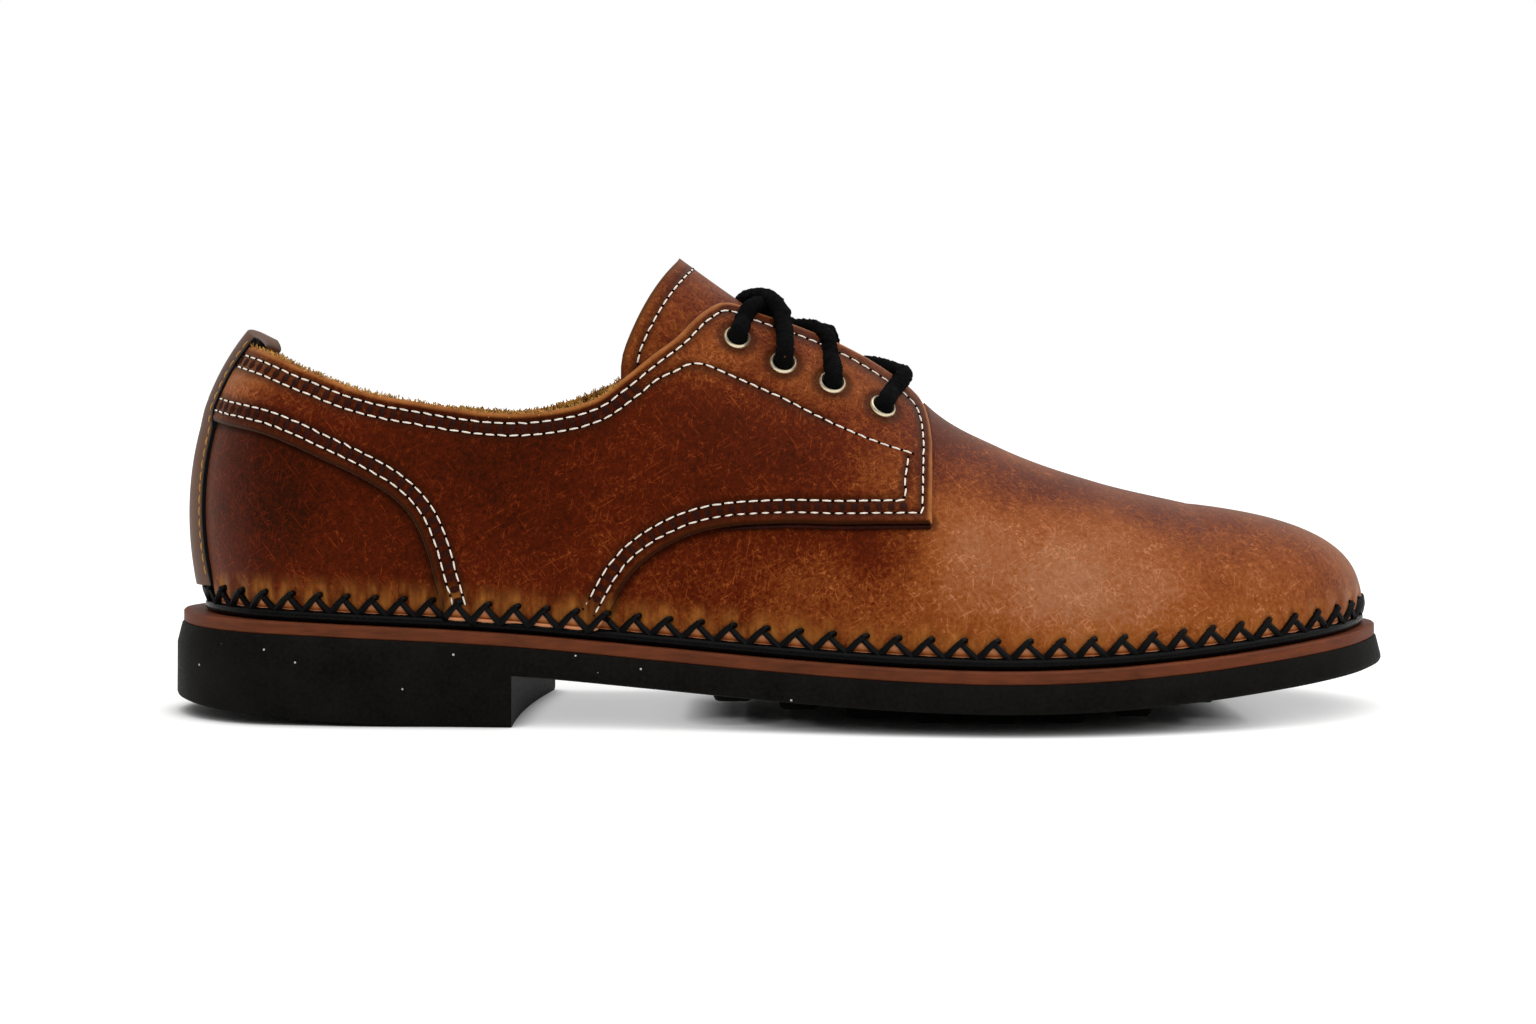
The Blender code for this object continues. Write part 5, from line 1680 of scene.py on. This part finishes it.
class SHOE_OT_lace(bpy.types.Operator):
    """Lace: strands that cross the tongue from eyelet to eyelet, two of them with an end under a facing"""

    bl_idname = "shoe.lace"
    bl_label = "Lace"

    def execute(self, context):
        places = eyelet_places()
        radius = context.scene.shoe_sizes.lace / 2
        random = np.random.default_rng(LACE_SEED)
        strands = []
        for start, end, between in LACE_STRANDS:
            path = [MM * np.array(between)]
            for eyelet, first in ((start, True), (end, False)):
                if eyelet is None:
                    continue
                centre, normal = places[eyelet]
                inner = np.array([centre - normal * LACE_UNDER, centre + normal * LACE_CLEAR])
                path = [inner, *path] if first else [*path, inner[::-1]]
            path = np.vstack(path)
            path = along_path(path, np.linspace(0, chords(path)[-1], LACE_STEPS))
            tuck = np.clip((np.linspace(0, 1, LACE_STEPS) - LACE_TUCK_FROM) / (1 - LACE_TUCK_FROM), 0, 1)
            ends = radius * (1 - LACE_TUCK * tuck if end is None else np.ones(LACE_STEPS))
            ends[[0, -1]] = 0
            rings = tube(path, ends, LACE_SIDES, np.array([1.0, 0, 0]))
            fuzz = random.normal(1, LACE_FUZZ, rings.shape[:2])[..., None]
            strands.append(path[:, None] + (rings - path[:, None]) * fuzz)
        points = np.array(strands)
        faces = many_faces(len(points), LACE_STEPS, LACE_SIDES)
        nodes = ["lace_bar_1", "lace_cross_2", "lace_cross_3", "lace_bar_4"]
        add_piece("lace_cord", points, faces, ["black_cotton_lace"], nodes, close=True)
        return {"FINISHED"}


# Sole


def midsole_bottom(x):
    """Height of the midsole's foot and the outsole's top along the shoe."""
    return welt_height(x) - MIDSOLE_THICKNESS


def insole_top(x):
    """Height of the insole's face along the shoe."""
    return welt_height(x) + INSOLE_THICKNESS


def plate_bottom(x):
    """Height of the outsole's plate at its foot along the shoe."""
    return midsole_bottom(x) - PLATE_THICKNESS


def heel_bottom(x):
    """The heel's foot: flat on the floor, and rolled up a little towards the back."""
    share = np.clip((HEEL_FLAT_END - x) / (HEEL_FLAT_END - HEEL_TIP[0] * MM), 0, 1)
    return HEEL_REAR_RISE * share**HEEL_RISE_POWER


def rungs(outline, shares, ends=None):
    """Lateral and medial points of an outline at shares of its length, from the heel to the toe. Where the
    ends of a longer outline are given, the points lie at its stations and draw in only near the tips."""
    first, last = outline[:, 0].argmin(), outline[:, 0].argmax()
    turned = np.roll(outline, -first, axis=0)
    split = (last - first) % len(outline)
    start, end = outline[[first, last], 0]
    heel, toe = ends or (start, end)
    x = heel + shares * (toe - heel) + (start - heel) * (1 - shares) ** TIP_POWER
    x = x + (end - toe) * shares**TIP_POWER
    lateral = np.interp(x, turned[: split + 1, 0], turned[: split + 1, 1])
    back = np.vstack([turned[split:], turned[:1]])[::-1]
    return np.stack([x, lateral], -1), np.stack([x, np.interp(x, back[:, 0], back[:, 1])], -1)


def rounded_shares(steps):
    """Shares from 0 to 1 that lie closer together at both round ends."""
    return (1 - np.cos(np.linspace(0, math.pi, steps))) / 2


def breast_curve(y):
    """Millimetres that the heel's front face lies ahead of the breast: a square curve of the place across."""
    return BREAST_CURVE[0] + BREAST_CURVE[1] * y + BREAST_CURVE[2] * y * y


def edge_levels(profile, height):
    """Levels of a layer of the sole: each row of a profile as its inset and a height along the shoe."""
    return [(margin, lambda x, rise=rise: height(x) + rise * MM) for margin, rise in profile]


def stacked(outline, levels, shares, bend=0.0):
    """Closed body whose cross-sections run down the lateral side and up the medial one through levels,
    each an inset of the outline and a height along the shoe. A bend moves each section by its share of the
    curve of the heel's front face."""
    halves = ([], [])
    ends = outline[:, 0].min(), outline[:, 0].max()
    for margin, height in levels:
        for half, points in zip(halves, rungs(inset(outline, margin * MM), shares, ends)):
            x = points[:, 0] + bend * MM * breast_curve(points[:, 1] / MM)
            half.append(np.stack([x, points[:, 1], height(x)], -1))
    start, end = halves[0][-1], halves[1][-1]
    floor = []
    for share in np.linspace(0, 1, ACROSS_FLOOR + 2)[1:-1]:
        y = (start[:, 1] + share * (end[:, 1] - start[:, 1])) / MM
        x = rungs(inset(outline, levels[-1][0] * MM), shares, ends)[0][:, 0]
        x = x + bend * MM * breast_curve(y)
        floor.append(np.stack([x, y * MM, levels[-1][1](x)], -1))
    return np.stack([*halves[0], *floor, *halves[1][::-1]], 1)


class SHOE_OT_sole(bpy.types.Operator):
    """Outsole with its heel and tread bars, leather midsole and insole"""

    bl_idname = "shoe.sole"
    bl_label = "Sole"

    def execute(self, context):
        outline, shares = sole_outline(), rounded_shares(SOLE_STEPS)
        self.outsole(outline, shares)
        bed = inset(feather_outline(), INSOLE_MARGIN)
        midsole = edge_levels(MIDSOLE_TOP, welt_height) + edge_levels(MIDSOLE_FOOT, midsole_bottom)
        insole = edge_levels(INSOLE_TOP, insole_top) + edge_levels(INSOLE_FOOT, welt_height)
        for name, plan, levels, material, slot, cad in (
            ("midsole_edge", outline, midsole, "brown_midsole_leather", "brown_sole_leather", "midsole"),
            ("insole_bed", bed, insole, "tan_insole_leather", "tan_lining_leather", "insole"),
        ):
            body = stacked(plan, levels, shares)
            faces = grid_faces(*body.shape[:2], closed=True)
            add_piece(name, body, faces, [material], [cad], close=True)
        return {"FINISHED"}

    def outsole(self, outline, shares):
        """Plate and heel as one stack of sections, with two sections at the breast, and the tread bars."""
        breast = (HEEL_BREAST - outline[:, 0].min()) / np.ptp(outline[:, 0])
        heel, fore = shares[shares < breast - BREAST_CLEAR], shares[shares > breast + BREAST_CLEAR]
        shares = np.concatenate([heel, [breast, breast], fore])
        with_heel = np.arange(len(shares)) <= len(heel)
        ahead = (shares - breast) * np.ptp(outline[:, 0])
        bend = np.where(ahead <= 0, (shares / breast) ** 3, np.clip(1 - ahead / BREAST_FADE, 0, 1))

        def foot(x):
            return np.where(with_heel, heel_bottom(x), plate_bottom(x))

        levels = edge_levels(PLATE_TOP, midsole_bottom) + edge_levels(PLATE_FLANK, plate_bottom)
        body = stacked(outline, levels + edge_levels(PLATE_FOOT, foot), shares, bend)
        bars = self.bars(outline)
        faces = grid_faces(*body.shape[:2], closed=True)
        more = many_faces(len(bars), *bars.shape[1:3]) + body.size // 3
        points = np.vstack([body.reshape(-1, 3), bars.reshape(-1, 3)])
        faces, finishes = np.vstack([faces, more]), ["black_sole_rubber"]
        add_piece("outsole_rubber", points, faces, finishes, ["outsole"], close=True)

    def bars(self, outline):
        """Tread bars: stacks of rounded rectangles that narrow from the plate down to the foot."""
        station, foot = MM * np.array(LUGS, float).T
        shares = (station - outline[:, 0].min()) / np.ptp(outline[:, 0])
        lateral, medial = (points[:, 1] for points in rungs(outline, shares))
        middle, half = (lateral + medial) / 2, (medial - lateral) / 2 - LUG_EDGE_MARGIN
        angle = np.linspace(0, 2 * math.pi, LUG_AROUND, endpoint=False)
        round_x, round_y = (np.sign(v) * np.abs(v) ** LUG_ROUND for v in (np.cos(angle), np.sin(angle)))
        roof = plate_bottom(station) + LUG_BITE
        rings = []
        for drop, taper, scale in LUG_RINGS:
            long = scale * (LUG_HALF_LENGTH + LUG_TAPER * (1 - taper))
            wide = scale * (half - LUG_END_TAPER * taper)
            x = station[:, None] + long * round_x
            y = middle[:, None] + wide[:, None] * round_y
            z = np.broadcast_to((roof + (foot - roof) * drop)[:, None], x.shape)
            rings.append(np.stack([x, y, z], -1))
        return np.stack(rings, 1)


# Stage


CAMERA_PLACE = (-1.0 * MM, -570 * MM, 78.6 * MM)
CAMERA_LENS = 52.9
CAMERA_SHIFT = (-10.5 / 1536, -117 / 1536)
CAMERA_NEAR = 10 * MM
FLOOR_HALF = 60.0
WORLD_FILL = 0.85
WORLD_FRONT = 0.1
WORLD_TURN = (-0.85, 0.1)
OVERHEAD_FROM = (0.25, -0.35, 1.0)
OVERHEAD_POWER = 2.5
OVERHEAD_SPREAD = math.radians(100)


class SHOE_OT_stage(bpy.types.Operator):
    """Pale floor, soft studio light and the camera"""

    bl_idname = "shoe.stage"
    bl_label = "Stage"

    def execute(self, context):
        scene = context.scene
        scene.view_settings.view_transform = "Standard"
        corners = FLOOR_HALF * np.array([(-1, -1, 0), (1, -1, 0), (1, 1, 0), (-1, 1, 0)])
        mesh = bpy.data.meshes.new("floor")
        mesh.from_pydata(corners.tolist(), [], [(0, 1, 2, 3)])
        mesh.materials.append(finish("matt_floor_card_painted_glow"))
        floor = bpy.data.objects.new("floor", mesh)
        scene.collection.objects.link(floor)
        world = bpy.data.worlds.new("studio")
        world.use_nodes = True
        world.node_tree.nodes["Background"].inputs["Color"].default_value = (1, 1, 1, 1)
        # The backdrop is seen white, but only a part of its light falls on the shoe, and least from the front
        seen = node(world.node_tree, "LightPath").outputs["Is Camera Ray"]
        toward = node(world.node_tree, "TexCoord").outputs["Generated"]
        toward = node(world.node_tree, "SeparateXYZ", (toward,)).outputs["Y"]
        level = node(world.node_tree, "MapRange", (toward, *WORLD_TURN, WORLD_FRONT, WORLD_FILL))
        strength = node(world.node_tree, "MapRange", (seen, 0, 1, level, 1.0))
        feed(world.node_tree.nodes["Background"], Strength=strength)
        scene.world = world
        lamp = bpy.data.lights.new("overhead", "SUN")
        lamp.energy, lamp.angle = OVERHEAD_POWER, OVERHEAD_SPREAD
        overhead = bpy.data.objects.new("overhead", lamp)
        overhead.rotation_euler = (-Vector(OVERHEAD_FROM)).to_track_quat("-Z", "Y").to_euler()
        scene.collection.objects.link(overhead)
        camera = bpy.data.cameras.new("camera")
        camera.lens = CAMERA_LENS
        camera.shift_x, camera.shift_y = CAMERA_SHIFT
        camera.clip_start = CAMERA_NEAR
        view = bpy.data.objects.new("camera", camera)
        view.location = CAMERA_PLACE
        view.rotation_euler = (math.pi / 2, 0, 0)
        scene.collection.objects.link(view)
        scene.camera = view
        return {"FINISHED"}


class SHOE_PT_panel(bpy.types.Panel):
    """Lists the pieces of the shoe"""

    bl_label = "Derby shoe"
    bl_idname = "SHOE_PT_panel"
    bl_space_type = "VIEW_3D"
    bl_region_type = "UI"
    bl_category = "Shoe"

    def draw(self, context):
        for operator in OPERATORS:
            self.layout.operator(operator.bl_idname)
        for group in (context.scene.shoe_sizes, context.scene.shoe_colours):
            for name in group.__annotations__:
                self.layout.prop(group, name)


OPERATORS = (
    SHOE_OT_stage, SHOE_OT_sole, SHOE_OT_vamp, SHOE_OT_quarters, SHOE_OT_collar_nap, SHOE_OT_back_strip,
    SHOE_OT_tongue, SHOE_OT_stitching, SHOE_OT_seam_cord, SHOE_OT_eyelets, SHOE_OT_lace,
)
CLASSES = (ShoeSizes, ShoeColours, *OPERATORS, SHOE_PT_panel)


def register():
    for each in CLASSES:
        bpy.utils.register_class(each)
    bpy.types.Scene.shoe_sizes = PointerProperty(type=ShoeSizes)
    bpy.types.Scene.shoe_colours = PointerProperty(type=ShoeColours)


def unregister():
    del bpy.types.Scene.shoe_colours
    del bpy.types.Scene.shoe_sizes
    for each in reversed(CLASSES):
        bpy.utils.unregister_class(each)


def main():
    register()
    for operator in OPERATORS:
        group, name = operator.bl_idname.split(".")
        getattr(getattr(bpy.ops, group), name)()


if __name__ == "__main__":
    main()
